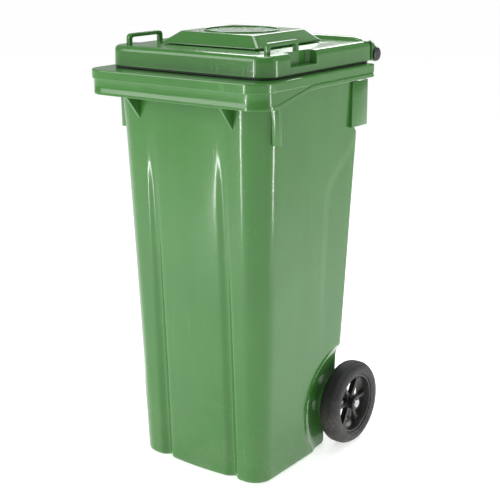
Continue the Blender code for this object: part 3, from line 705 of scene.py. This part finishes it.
# %% Round rib on top, and the four posts that stand on the tray
RIB_IN, RIB_OUT, RIB_TOP = 0.0795, 0.0825, cover_high.z
middle = Vector((0.0, leaned((COVER_FRONT + COVER_REAR) / 2, COVER_TOP), 0.0))
profile = [(COVER_TOP - 0.0010, RIB_IN), (RIB_TOP - 0.0008, RIB_IN),
           (RIB_TOP - 0.0002, RIB_IN + 0.0003), (RIB_TOP, RIB_IN + 0.0009),
           (RIB_TOP, RIB_OUT - 0.0009), (RIB_TOP - 0.0002, RIB_OUT - 0.0003),
           (RIB_TOP - 0.0008, RIB_OUT), (COVER_TOP - 0.0010, RIB_OUT)]
rib_ring = turn("rib", profile, middle, 128, axis="Z")
for vertex in rib_ring.data.vertices:
    vertex.co.y = upright(vertex.co.y)
combine(cover, rib_ring)
for side, sign in SIDES:
    low_x, high_x = sorted((sign * 0.094, sign * 0.102))
    for low_y, high_y in ((-0.088, -0.083), (0.0775, 0.0825)):
        combine(cover, block("post", (low_x, low_y, TRAY_SEAT + 0.0031),
                             (high_x, high_y, COVER_TOP - 0.0025)))
seat(cover, "filter_cover", leans=True)

# %% [markdown]
# ## Filter tray and mat
#
# Under the cover a tray with slots in its floor holds a mat of loose fibre. Neither shows
# while the lid is shut, but the slots do from below when it is open.

# %% Tray with slots, and the padded mat
TRAY_LOW, TRAY_HIGH = drawn_box("filter_tray")
TRAY_WALL = 0.0025


def tray_level(inset, radius, z):
    return rectangle(0.100 - inset, -0.084 + inset, 0.076 - inset, radius, z)


def flange_level(z):
    return rectangle(TRAY_HIGH.x, TRAY_LOW.y, TRAY_HIGH.y, 0.016, z)


levels = [tray_level(0.0015, 0.0065, TRAY_LOW.z), tray_level(0.0, 0.008, TRAY_LOW.z + 0.0015)]
levels += [tray_level(0.0, 0.008, TRAY_HIGH.z - TRAY_WALL)]
levels += [flange_level(TRAY_HIGH.z - TRAY_WALL), flange_level(TRAY_HIGH.z)]
levels += [tray_level(TRAY_WALL, 0.006, TRAY_HIGH.z)]
levels += [tray_level(TRAY_WALL, 0.006, TRAY_LOW.z + TRAY_WALL)]
tray = skin("tray_shell", levels)
slots = [plate("slot", [(x - 0.004, -0.066)] + arc((x, -0.066), 0.004, 180, 360, 6)[1:]
               + arc((x, 0.058), 0.004, 0, 180, 6)[:-1] + [(x - 0.004, 0.058)], "Z", 0.920, 0.932)
         for x in [0.026 * (i - 3) for i in range(7)]]
combine(tray, join(slots), "DIFFERENCE")
seat(tray, "filter_tray", leans=True)

mat_low, mat_high = drawn_box("filter_mat")
levels = []
for share in (0.0, 0.08, 0.25, 0.5, 0.75, 0.92, 1.0):
    inset = 0.0045 * (abs(2 * share - 1) ** 3)
    levels.append(rectangle(mat_high.x - inset, mat_low.y + inset, mat_high.y - inset, 0.008,
                            mix(mat_low.z, mat_high.z, share)))
mat = skin("mat_block", levels)
seat(mat, "filter_mat", leans=True, crease=60)

# %% [markdown]
# ## Gasket and hinge pins
#
# A strip of black rubber lies between rim and lid along both sides and round the front. Each
# hinge pin is a plastic bolt with a domed head that covers the ear's bore.

# %% Rubber strip
GASKET_REAR, GASKET_WIDTH, GASKET_CORNER = gasket_high.y, 0.008, 0.0363


def strip(half, front, corner):
    right = [(half, GASKET_REAR), (half, front + corner)]
    right += arc((half - corner, front + corner), corner, 0, -90, 12)[1:]
    return right + [(-x, y) for x, y in reversed(right)]


outline = strip(gasket_high.x, gasket_low.y, GASKET_CORNER)
outline += list(reversed(strip(gasket_high.x - GASKET_WIDTH, gasket_low.y + GASKET_WIDTH,
                               GASKET_CORNER - GASKET_WIDTH)))
gasket = plate("gasket_strip", outline, "Z", gasket_low.z, gasket_high.z, 0.001, 3)
seat(gasket, "lid_gasket", leans=True, crease=50)

# %% Pins with domed heads
PIN_RADIUS, CAP_RADIUS, CAP_INNER = 0.006, (pin_high.z - pin_low.z) / 2, 0.2146
dome = [(pin_high.x - 0.0026 + 0.0026 * b, CAP_RADIUS - 0.0060 + 0.0060 * a)
        for a, b in arc((0.0, 0.0), 1.0, 0, 90, 7)]
pin_profile = [(pin_low.x, 0.0), (pin_low.x, PIN_RADIUS - 0.001), (pin_low.x + 0.001, PIN_RADIUS)]
pin_profile += [(CAP_INNER, PIN_RADIUS), (CAP_INNER, CAP_RADIUS - 0.0006)]
pin_profile += [(CAP_INNER + 0.0005, CAP_RADIUS)]
pin_profile += dome + [(pin_high.x, 0.003), (pin_high.x, 0.0)]
for side, sign in SIDES:
    pin = turn("hinge_bolt_" + side, [(sign * x, r) for x, r in pin_profile], HINGE, 56, solid=True)
    seat(pin, "hinge_pin_" + side)

# %% [markdown]
# ## Wheels
#
# Each wheel is a moulded hub with six spokes inside a solid rubber tyre. Barrel, rim and
# tyre are turned; the spokes are plates that widen at both ends, as moulded spokes do.
# A short housing points down inside the hub and guides the spring-loaded latch.

# %% Hub: barrel, rim, spokes and latch housing
HUB_MIDDLE, SPOKES = 0.196, 6
barrel = [(0.1675, 0.0163), (0.1680, 0.0168), (0.2178, 0.0160), (0.2185, 0.0152),
          (0.2185, 0.0116), (0.2175, AXLE_BORE), (0.1675, AXLE_BORE)]
hub_rim = [(0.1780, 0.0663), (0.1780, 0.0697), (0.1788, 0.0705), (0.2157, 0.0705), (0.2165, 0.0697),
           (0.2165, 0.0668), (0.2158, 0.0657), (0.2100, 0.0641), (0.2042, 0.0629), (0.2005, 0.0625),
           (0.1925, 0.0625), (0.1890, 0.0629), (0.1840, 0.0641), (0.1786, 0.0657)]
spoke_half = [(0.0135, 0.0078), (0.0165, 0.0066), (0.0205, 0.0055), (0.0270, 0.0048),
              (0.0520, 0.0046), (0.0570, 0.0052), (0.0605, 0.0065), (0.0632, 0.0090)]


def spoke_outline(angle):
    across, up = math.cos(angle), math.sin(angle)
    edges = spoke_half + [(r, -w) for r, w in reversed(spoke_half)]
    return [(AXLE.y + r * across - w * up, AXLE.z + r * up + w * across) for r, w in edges]


def wheel_hub(side, sign):
    hub = turn("hub_" + side, [(sign * x, r) for x, r in hub_rim], AXLE, 96)
    combine(hub, turn("barrel", [(sign * x, r) for x, r in barrel], AXLE, 64))
    low, high = sorted((sign * 0.1897, sign * 0.2033))
    for number in range(SPOKES):
        outline = spoke_outline(math.radians(360 / SPOKES * number))
        combine(hub, plate("spoke", outline, "X", low, high, 0.0012, 3))
    middle = (sign * HUB_MIDDLE, AXLE.y, 0.0)
    housing = [(AXLE.z - 0.038, 0.0), (AXLE.z - 0.038, 0.0074), (AXLE.z - 0.0372, 0.0082),
               (AXLE.z - 0.0132, 0.0082), (AXLE.z - 0.0132, 0.0)]
    combine(hub, turn("housing", housing, middle, 40, "Z", solid=True))
    bore_steps = ((0.009, 0.0195, 0.0033), (0.0187, 0.0352, 0.0053), (0.034, 0.042, 0.0025))
    for near, far, radius in bore_steps:
        cutter = [(AXLE.z - far, 0.0), (AXLE.z - far, radius), (AXLE.z - near, radius),
                  (AXLE.z - near, 0.0)]
        combine(hub, turn("bore", cutter, middle, 32, "Z", solid=True), "DIFFERENCE")
    seat(hub, "wheel_" + side)


for side, sign in SIDES:
    wheel_hub(side, sign)

# %% [markdown]
# ## Tyres
#
# The tread of a solid tyre is a set of fine grooves round the crown, cut by the mould. They
# belong in the turned profile: at each groove the profile simply dips. The side wall has a
# raised ring and is rounded into the crown.

# %% One profile, spun into both tyres
TREAD_IN, TREAD_OUT = 0.1795, 0.2135
RIB_SHAPE = ((0.05, 0.35), (0.16, 0.0), (0.62, 0.0), (0.73, 0.35), (0.80, 1.0), (0.98, 1.0))
CROWN = [(0.1790, 0.0965), (0.1870, 0.0995), (0.1970, 0.1000), (0.2070, 0.0995), (0.2140, 0.0965)]


def crown_radius(x):
    """Height of the crown between the known places."""
    for (x0, r0), (x1, r1) in zip(CROWN, CROWN[1:]):
        if x <= x1:
            return mix(r0, r1, (x - x0) / (x1 - x0))
    return CROWN[-1][1]


def tyre_profile(ribs=11, depth=0.0010):
    inner = [(0.1742, 0.0710), (0.1734, 0.0722), (0.1727, 0.0742), (0.1731, 0.0752)]
    inner += [(0.1722, 0.0766), (0.1720, 0.0800), (0.1723, 0.0836), (0.1731, 0.0842)]
    inner += [(0.1733, 0.0862), (0.1728, 0.0870), (0.1738, 0.0896), (0.1752, 0.0926)]
    inner += [(0.1770, 0.0948)]
    tread = []
    width = (TREAD_OUT - TREAD_IN) / ribs
    for number in range(ribs):
        start = mix(TREAD_IN, TREAD_OUT, number / ribs)
        for share, dip in RIB_SHAPE:
            x = start + share * width
            tread.append((x, crown_radius(x) - dip * depth))
    outer = [(0.2140, 0.0958), (0.2168, 0.0940), (0.2194, 0.0915), (0.2210, 0.0888)]
    outer += [(0.2206, 0.0878), (0.2214, 0.0866), (0.2221, 0.0840), (0.2225, 0.0810)]
    outer += [(0.2220, 0.0778), (0.2208, 0.0766), (0.2209, 0.0752), (0.2200, 0.0736)]
    outer += [(0.2192, 0.0720), (0.2184, 0.0710)]
    return inner + tread + outer


for side, sign in SIDES:
    tyre = turn("rubber_tyre_" + side, [(sign * x, r) for x, r in tyre_profile()], AXLE, 112)
    seat(tyre, "tyre_" + side, crease=28)

# %% [markdown]
# ## Axle, spacers and washers
#
# The axle is a plain steel bar with a groove near each end. Spacers and washers keep the
# wheels away from the brackets. All of them are turned parts, so one function makes them.

# %% Steel bar and its grooved ends
AXLE_RADIUS = (axle_high.z - axle_low.z) / 2
NECK_IN, NECK_OUT, NECK_RADIUS = 0.1915, 0.2005, 0.007

profile = [(axle_low.x, 0.0), (axle_low.x, AXLE_RADIUS)]
profile += [(axle_high.x, AXLE_RADIUS), (axle_high.x, 0.0)]
seat(turn("axle_bar", profile, AXLE, 64, solid=True), "axle")
for side, sign in SIDES:
    end_low, end_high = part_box("axle_end_" + side)
    inner, tip = sorted((abs(end_low.x), abs(end_high.x)))
    profile = [(inner, 0.0), (inner, AXLE_RADIUS), (NECK_IN, AXLE_RADIUS), (NECK_IN, NECK_RADIUS),
               (NECK_OUT, NECK_RADIUS), (NECK_OUT, AXLE_RADIUS), (tip - 0.0012, AXLE_RADIUS),
               (tip - 0.0004, AXLE_RADIUS - 0.0005), (tip, AXLE_RADIUS - 0.0013), (tip, 0.0022),
               (tip - 0.0016, 0.0007), (tip - 0.0016, 0.0)]
    tip_piece = turn("axle_tip_" + side, [(sign * x, r) for x, r in profile], AXLE, 64, solid=True)
    seat(tip_piece, "axle_end_" + side)


# %% Spacers and washers, with broken edges
def tube_profile(low, high, inner, outer, chamfer):
    return [(low, inner), (low, outer - chamfer), (low + chamfer, outer), (high - chamfer, outer),
            (high, outer - chamfer), (high, inner)]


for kind, chamfer in (("axle_spacer_", 0.0006), ("axle_washer_", 0.0003)):
    for side, sign in SIDES:
        low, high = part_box(kind + side)
        profile = tube_profile(low.x, high.x, AXLE_RADIUS + 0.0003, (high.z - low.z) / 2, chamfer)
        seat(turn(kind + "ring_" + side, profile, AXLE, 64), kind + side)

# %% [markdown]
# ## Wheel latches
#
# A plunger in the hub drops into the axle's groove and keeps the wheel on; pulling its knob
# frees the wheel. Its spring is a real coil here: one small circle carried along a helix.

# %% Plungers
for side, sign in SIDES:
    middle = (sign * HUB_MIDDLE, AXLE.y, 0.0)
    steps = [(0.0084, 0.0), (0.0084, 0.0020), (0.0089, 0.0026), (0.0094, 0.0029), (0.0190, 0.0029),
             (0.0190, 0.0047), (0.0193, 0.0050), (0.0217, 0.0050), (0.0220, 0.0047), (0.0220, 0.0021),
             (0.0385, 0.0021), (0.0385, 0.0041), (0.0389, 0.0045), (0.0402, 0.0045), (0.0408, 0.0040),
             (0.0414, 0.0045), (0.0434, 0.0045), (0.0442, 0.0041), (0.0445, 0.0034), (0.0445, 0.0)]
    profile = [(AXLE.z - place, radius) for place, radius in steps]
    latch = turn("latch_plunger_" + side, profile, middle, 40, "Z", solid=True)
    seat(latch, "wheel_latch_" + side)


def coil(name, centre, low, high, mean, wire, turns=6, steps=20, facets=8):
    rings = []
    for i in range(turns * steps + 1):
        angle = 2 * math.pi * i / steps
        out = Vector((math.cos(angle), math.sin(angle), 0.0))
        share = i / (turns * steps)
        z = mix(low + wire, high - wire, 0.5 * ease(share) + 0.5 * share)
        core = Vector((centre[0], centre[1], z)) + out * mean
        rings.append([core + out * wire * math.cos(a) + Vector((0, 0, wire)) * math.sin(a)
                      for a in [2 * math.pi * k / facets for k in range(facets)]])
    return skin(name, rings)


for side, sign in SIDES:
    low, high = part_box("latch_spring_" + side)
    spring = coil("spring_coil_" + side, (sign * HUB_MIDDLE, AXLE.y), low.z, high.z,
                  mean=0.0036, wire=0.0005)
    seat(spring, "latch_spring_" + side, crease=50)
    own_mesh(spring)

# %% [markdown]
# # Finishes
#
# Plastic is never one flat colour: pigment flows, cooling leaves faint waves, handling leaves
# hair-thin scratches, and dust settles near the ground. Each effect is a node group that gives
# a mask or a height, so that every finish can use it at its own strength.

# %% Small helpers for node trees
def node(tree, kind, **settings):
    made_node = tree.nodes.new(kind)
    for key, value in settings.items():
        setattr(made_node, key, value)
    return made_node


def feed(tree, target, value):
    """Link a socket, or set a plain number or colour."""
    if isinstance(value, bpy.types.NodeSocket):
        tree.links.new(value, target)
    else:
        target.default_value = value


def maths(tree, operation, first, second=None, clamp=False):
    result = node(tree, "ShaderNodeMath", operation=operation, use_clamp=clamp)
    feed(tree, result.inputs[0], first)
    if second is not None:
        feed(tree, result.inputs[1], second)
    return result.outputs[0]


def remap(tree, value, low, high, to_low=0.0, to_high=1.0):
    result = node(tree, "ShaderNodeMapRange", interpolation_type="SMOOTHSTEP")
    for target, number in zip(result.inputs, (value, low, high, to_low, to_high)):
        feed(tree, target, number)
    return result.outputs["Result"]


def noise(tree, vector, scale, detail=3.0, roughness=0.5, distortion=0.0):
    result = node(tree, "ShaderNodeTexNoise")
    for name, value in (("Vector", vector), ("Scale", scale), ("Detail", detail),
                        ("Roughness", roughness), ("Distortion", distortion)):
        feed(tree, result.inputs[name], value)
    return result.outputs[0]


def stretched(tree, vector, scale):
    result = node(tree, "ShaderNodeMapping")
    feed(tree, result.inputs["Vector"], vector)
    result.inputs["Scale"].default_value = scale
    return result.outputs[0]


def blend_colours(tree, share, first, second):
    result = node(tree, "ShaderNodeMix", data_type="RGBA")
    for index, value in ((0, share), (6, first), (7, second)):
        feed(tree, result.inputs[index], value)
    return result.outputs[2]


def effect(name, numbers, outputs):
    """A node group with number inputs; returns the tree, its input sockets and coordinates."""
    tree = bpy.data.node_groups.new(name, "ShaderNodeTree")
    for label, value in numbers:
        socket = tree.interface.new_socket(label, in_out="INPUT", socket_type="NodeSocketFloat")
        socket.default_value = value
    for label in outputs:
        tree.interface.new_socket(label, in_out="OUTPUT", socket_type="NodeSocketFloat")
    entry, leave = node(tree, "NodeGroupInput"), node(tree, "NodeGroupOutput")
    place = node(tree, "ShaderNodeTexCoord").outputs["Object"]
    return tree, entry.outputs, leave.inputs, place


# %% Effects shared by the finishes
mottle, given, out, place = effect("pigment_mottle", [("Scale", 3.0), ("Stretch", 0.35)], ["Tone"])
wide = noise(mottle, place, given["Scale"], 4.0, 0.55, 0.4)
flow = noise(mottle, stretched(mottle, place, (14.0, 14.0, 1.2)), 2.0, 3.0, 0.6)
feed(mottle, out["Tone"], maths(mottle, "ADD", wide, maths(mottle, "MULTIPLY", flow, given["Stretch"])))

scratch, given, out, place = effect("hair_scratches", [("Amount", 0.5)], ["Mask"])
lines = []
for direction in ((220.0, 260.0, 5.0), (7.0, 240.0, 190.0), (230.0, 9.0, 170.0)):
    strand = noise(scratch, stretched(scratch, place, direction), 1.0, 2.0, 0.4, 0.6)
    lines.append(remap(scratch, strand, 0.66, 0.72))
patches = remap(scratch, noise(scratch, place, 6.0, 3.0), 0.46, 0.66)
all_lines = maths(scratch, "MAXIMUM", maths(scratch, "MAXIMUM", lines[0], lines[1]), lines[2])
feed(scratch, out["Mask"], maths(scratch, "MULTIPLY", maths(scratch, "MULTIPLY", all_lines, patches),
                                 given["Amount"]))

dust, given, out, place = effect("ground_dust", [("Height", 0.16), ("Amount", 0.5)], ["Mask"])
height = node(dust, "ShaderNodeSeparateXYZ")
feed(dust, height.inputs[0], place)
cloud = noise(dust, place, 11.0, 6.0, 0.62)
fall = remap(dust, maths(dust, "DIVIDE", height.outputs["Z"], given["Height"]), 0.0, 1.0, 1.0, 0.0)
speckle = remap(dust, noise(dust, place, 420.0, 2.0), 0.42, 0.62)
veil = maths(dust, "MULTIPLY", maths(dust, "MULTIPLY", fall, remap(dust, cloud, 0.38, 0.66)), speckle)
feed(dust, out["Mask"], maths(dust, "MULTIPLY", veil, given["Amount"]))

strengths = [("Peel", 1.0), ("Wave", 1.0), ("Grain", 0.0)]
relief, given, out, place = effect("moulded_relief", strengths, ["Height"])
peel = noise(relief, place, 260.0, 2.0, 0.5)
wave = noise(relief, stretched(relief, place, (1.0, 1.0, 0.45)), 7.0, 2.0, 0.4)
grain = noise(relief, place, 1400.0, 3.0, 0.7)
parts = [maths(relief, "MULTIPLY", texture, given[label])
         for texture, label in ((peel, "Peel"), (wave, "Wave"), (grain, "Grain"))]
feed(relief, out["Height"], maths(relief, "ADD", maths(relief, "ADD", parts[0], parts[1]), parts[2]))
print("effects:", [group.name for group in bpy.data.node_groups])


# %% One builder for all moulded finishes
def effect_node(tree, name, **numbers):
    result = node(tree, "ShaderNodeGroup", node_tree=bpy.data.node_groups[name])
    for label, value in numbers.items():
        result.inputs[label].default_value = value
    return result


def moulded(name, dark, light, rough, peel, wave, grain, bump, scuffs, dirt,
            dirt_height=0.16, metal=0.0, coat=0.0):
    """Pigment between dark and light; scuffs and dust change both colour and shine."""
    finish = bpy.data.materials.new(name)
    finish.use_nodes = True
    tree = finish.node_tree
    shader = tree.nodes["Principled BSDF"]
    shader.inputs["Metallic"].default_value = metal
    shader.inputs["Coat Weight"].default_value = coat
    shader.inputs["Coat Roughness"].default_value = 0.08
    tone = effect_node(tree, "pigment_mottle").outputs["Tone"]
    marks = effect_node(tree, "hair_scratches", Amount=scuffs).outputs["Mask"]
    veil = effect_node(tree, "ground_dust", Amount=dirt, Height=dirt_height).outputs["Mask"]
    colour = blend_colours(tree, remap(tree, tone, 0.42, 0.95), (*dark, 1.0), (*light, 1.0))
    pale = tuple(min(1.0, channel * 1.5 + 0.05) for channel in light)
    colour = blend_colours(tree, marks, colour, (*pale, 1.0))
    colour = blend_colours(tree, veil, colour, (0.34, 0.31, 0.26, 1.0))
    feed(tree, shader.inputs["Base Color"], colour)
    shine = maths(tree, "ADD", remap(tree, tone, 0.4, 1.0, rough * 0.88, rough * 1.14),
                  maths(tree, "MULTIPLY", maths(tree, "ADD", marks, veil), 0.45), clamp=True)
    feed(tree, shader.inputs["Roughness"], shine)
    height = effect_node(tree, "moulded_relief", Peel=peel, Wave=wave, Grain=grain).outputs["Height"]
    scored = maths(tree, "SUBTRACT", height, maths(tree, "MULTIPLY", marks, 0.3))
    surface = node(tree, "ShaderNodeBump")
    surface.inputs["Distance"].default_value = bump
    surface.inputs["Strength"].default_value = 1.0
    feed(tree, surface.inputs["Height"], scored)
    feed(tree, shader.inputs["Normal"], surface.outputs["Normal"])
    return finish


finishes = {
    "green_plastic": moulded(
        "green_moulding", (0.039, 0.160, 0.026), (0.049, 0.190, 0.033), rough=0.16, peel=0.10,
        wave=1.0, grain=0.012, bump=0.0011, scuffs=0.16, dirt=0.22, coat=0.15),
    "black_plastic": moulded(
        "black_moulding", (0.010, 0.010, 0.011), (0.022, 0.022, 0.024), rough=0.34, peel=0.5,
        wave=0.5, grain=0.12, bump=0.0005, scuffs=0.25, dirt=0.30, dirt_height=0.22),
    "gasket_rubber": moulded(
        "soft_rubber", (0.012, 0.012, 0.012), (0.024, 0.024, 0.025), rough=0.62, peel=0.6,
        wave=0.2, grain=0.25, bump=0.0003, scuffs=0.10, dirt=0.10),
    "tyre_rubber": moulded(
        "tyre_rubber", (0.016, 0.016, 0.017), (0.036, 0.036, 0.038), rough=0.60, peel=0.8,
        wave=0.3, grain=0.30, bump=0.0004, scuffs=0.30, dirt=0.55, dirt_height=0.24),
    "zinc_steel": moulded(
        "zinc_plated_steel", (0.42, 0.43, 0.44), (0.62, 0.62, 0.60), rough=0.30, peel=0.4,
        wave=0.2, grain=0.20, bump=0.0002, scuffs=0.40, dirt=0.25, dirt_height=0.24, metal=1.0),
    "filter_fibre": moulded(
        "filter_fibre", (0.09, 0.055, 0.028), (0.26, 0.18, 0.10), rough=0.92, peel=3.0,
        wave=1.0, grain=2.5, bump=0.0012, scuffs=0.0, dirt=0.0),
}
for node_name, piece in made.items():
    piece.data.materials.clear()
    piece.data.materials.append(finishes[slot_of[node_name]])
print("finishes on", len(made), "pieces")

# %% [markdown]
# # Studio
#
# A pale floor with a faint glow under a white sky keeps the background even. One large soft
# panel on the left lights the front, a weak one on the right the side; the lid mirrors one
# behind and one above, and two narrow strips draw bright lines down the front corners.

# %% Floor and sky
FLOOR_GLOW, SKY_LIGHT = 0.62, 0.40

clear_selection()
bpy.ops.mesh.primitive_plane_add(size=40.0)
floor = named("floor")
paper = bpy.data.materials.new("white_paper")
paper.use_nodes = True
tree = paper.node_tree
shader = tree.nodes["Principled BSDF"]
place = node(tree, "ShaderNodeTexCoord").outputs["Object"]
fleck = noise(tree, place, 6.0, 4.0)
feed(tree, shader.inputs["Base Color"],
     blend_colours(tree, fleck, (0.90, 0.90, 0.90, 1.0), (0.93, 0.93, 0.93, 1.0)))
feed(tree, shader.inputs["Roughness"], remap(tree, fleck, 0.3, 0.7, 0.85, 0.95))
shader.inputs["Emission Color"].default_value = (1.0, 1.0, 1.0, 1.0)
shader.inputs["Emission Strength"].default_value = FLOOR_GLOW
floor.data.materials.append(paper)

world = bpy.context.scene.world or bpy.data.worlds.new("sky")
bpy.context.scene.world = world
world.use_nodes = True
sky = world.node_tree.nodes["Background"]
seen = node(world.node_tree, "ShaderNodeLightPath").outputs["Is Camera Ray"]
extra = maths(world.node_tree, "MULTIPLY", seen, 1.0 - SKY_LIGHT)
feed(world.node_tree, sky.inputs["Strength"], maths(world.node_tree, "ADD", SKY_LIGHT, extra))
sky.inputs["Color"].default_value = (1.0, 1.0, 1.0, 1.0)
bpy.context.scene.view_settings.view_transform = "Standard"


# %% Soft panels
def panel(name, place, target, size, watts):
    light = bpy.data.lights.new(name, "AREA")
    light.shape = "RECTANGLE"
    light.size, light.size_y = size
    light.energy = watts
    holder = bpy.data.objects.new(name, light)
    bpy.context.collection.objects.link(holder)
    holder.location = place
    holder.rotation_euler = (Vector(target) - Vector(place)).to_track_quat("-Z", "Y").to_euler()


panel("panel_front", (-1.6, -2.6, 1.9), (0, 0, 0.5), (1.6, 1.8), 38)
panel("panel_side", (2.9, 0.9, 1.6), (0, 0, 0.5), (0.9, 1.8), 5)
panel("panel_back", (-1.3, 2.6, 2.1), (0, 0, 0.95), (1.6, 1.0), 36)
panel("panel_top", (0.0, 0.2, 3.0), (0, 0, 0.9), (1.4, 1.4), 32)
panel("strip_left", (-0.75, -2.10, 0.55), (0, 0, 0.62), (0.10, 1.1), 13)
panel("strip_right", (2.05, 0.90, 0.55), (0, 0, 0.62), (0.10, 1.1), 11)

# %% [markdown]
# ## Camera
#
# A long lens a little above the lid keeps the perspective flat.

# %% Camera
lens = bpy.data.cameras.new("camera")
lens.lens, lens.sensor_width = 82.77, 36.0
camera = bpy.data.objects.new("camera", lens)
bpy.context.collection.objects.link(camera)
camera.location = (1.5281, -2.0406, 1.2097)
aim = (Vector((0.0091, 0.0143, 0.4794)) - camera.location).to_track_quat("-Z", "Y").to_matrix()
roll = math.radians(-0.22)
camera.rotation_euler = (aim @ Matrix.Rotation(roll, 3, "Z")).to_euler()
bpy.context.scene.camera = camera
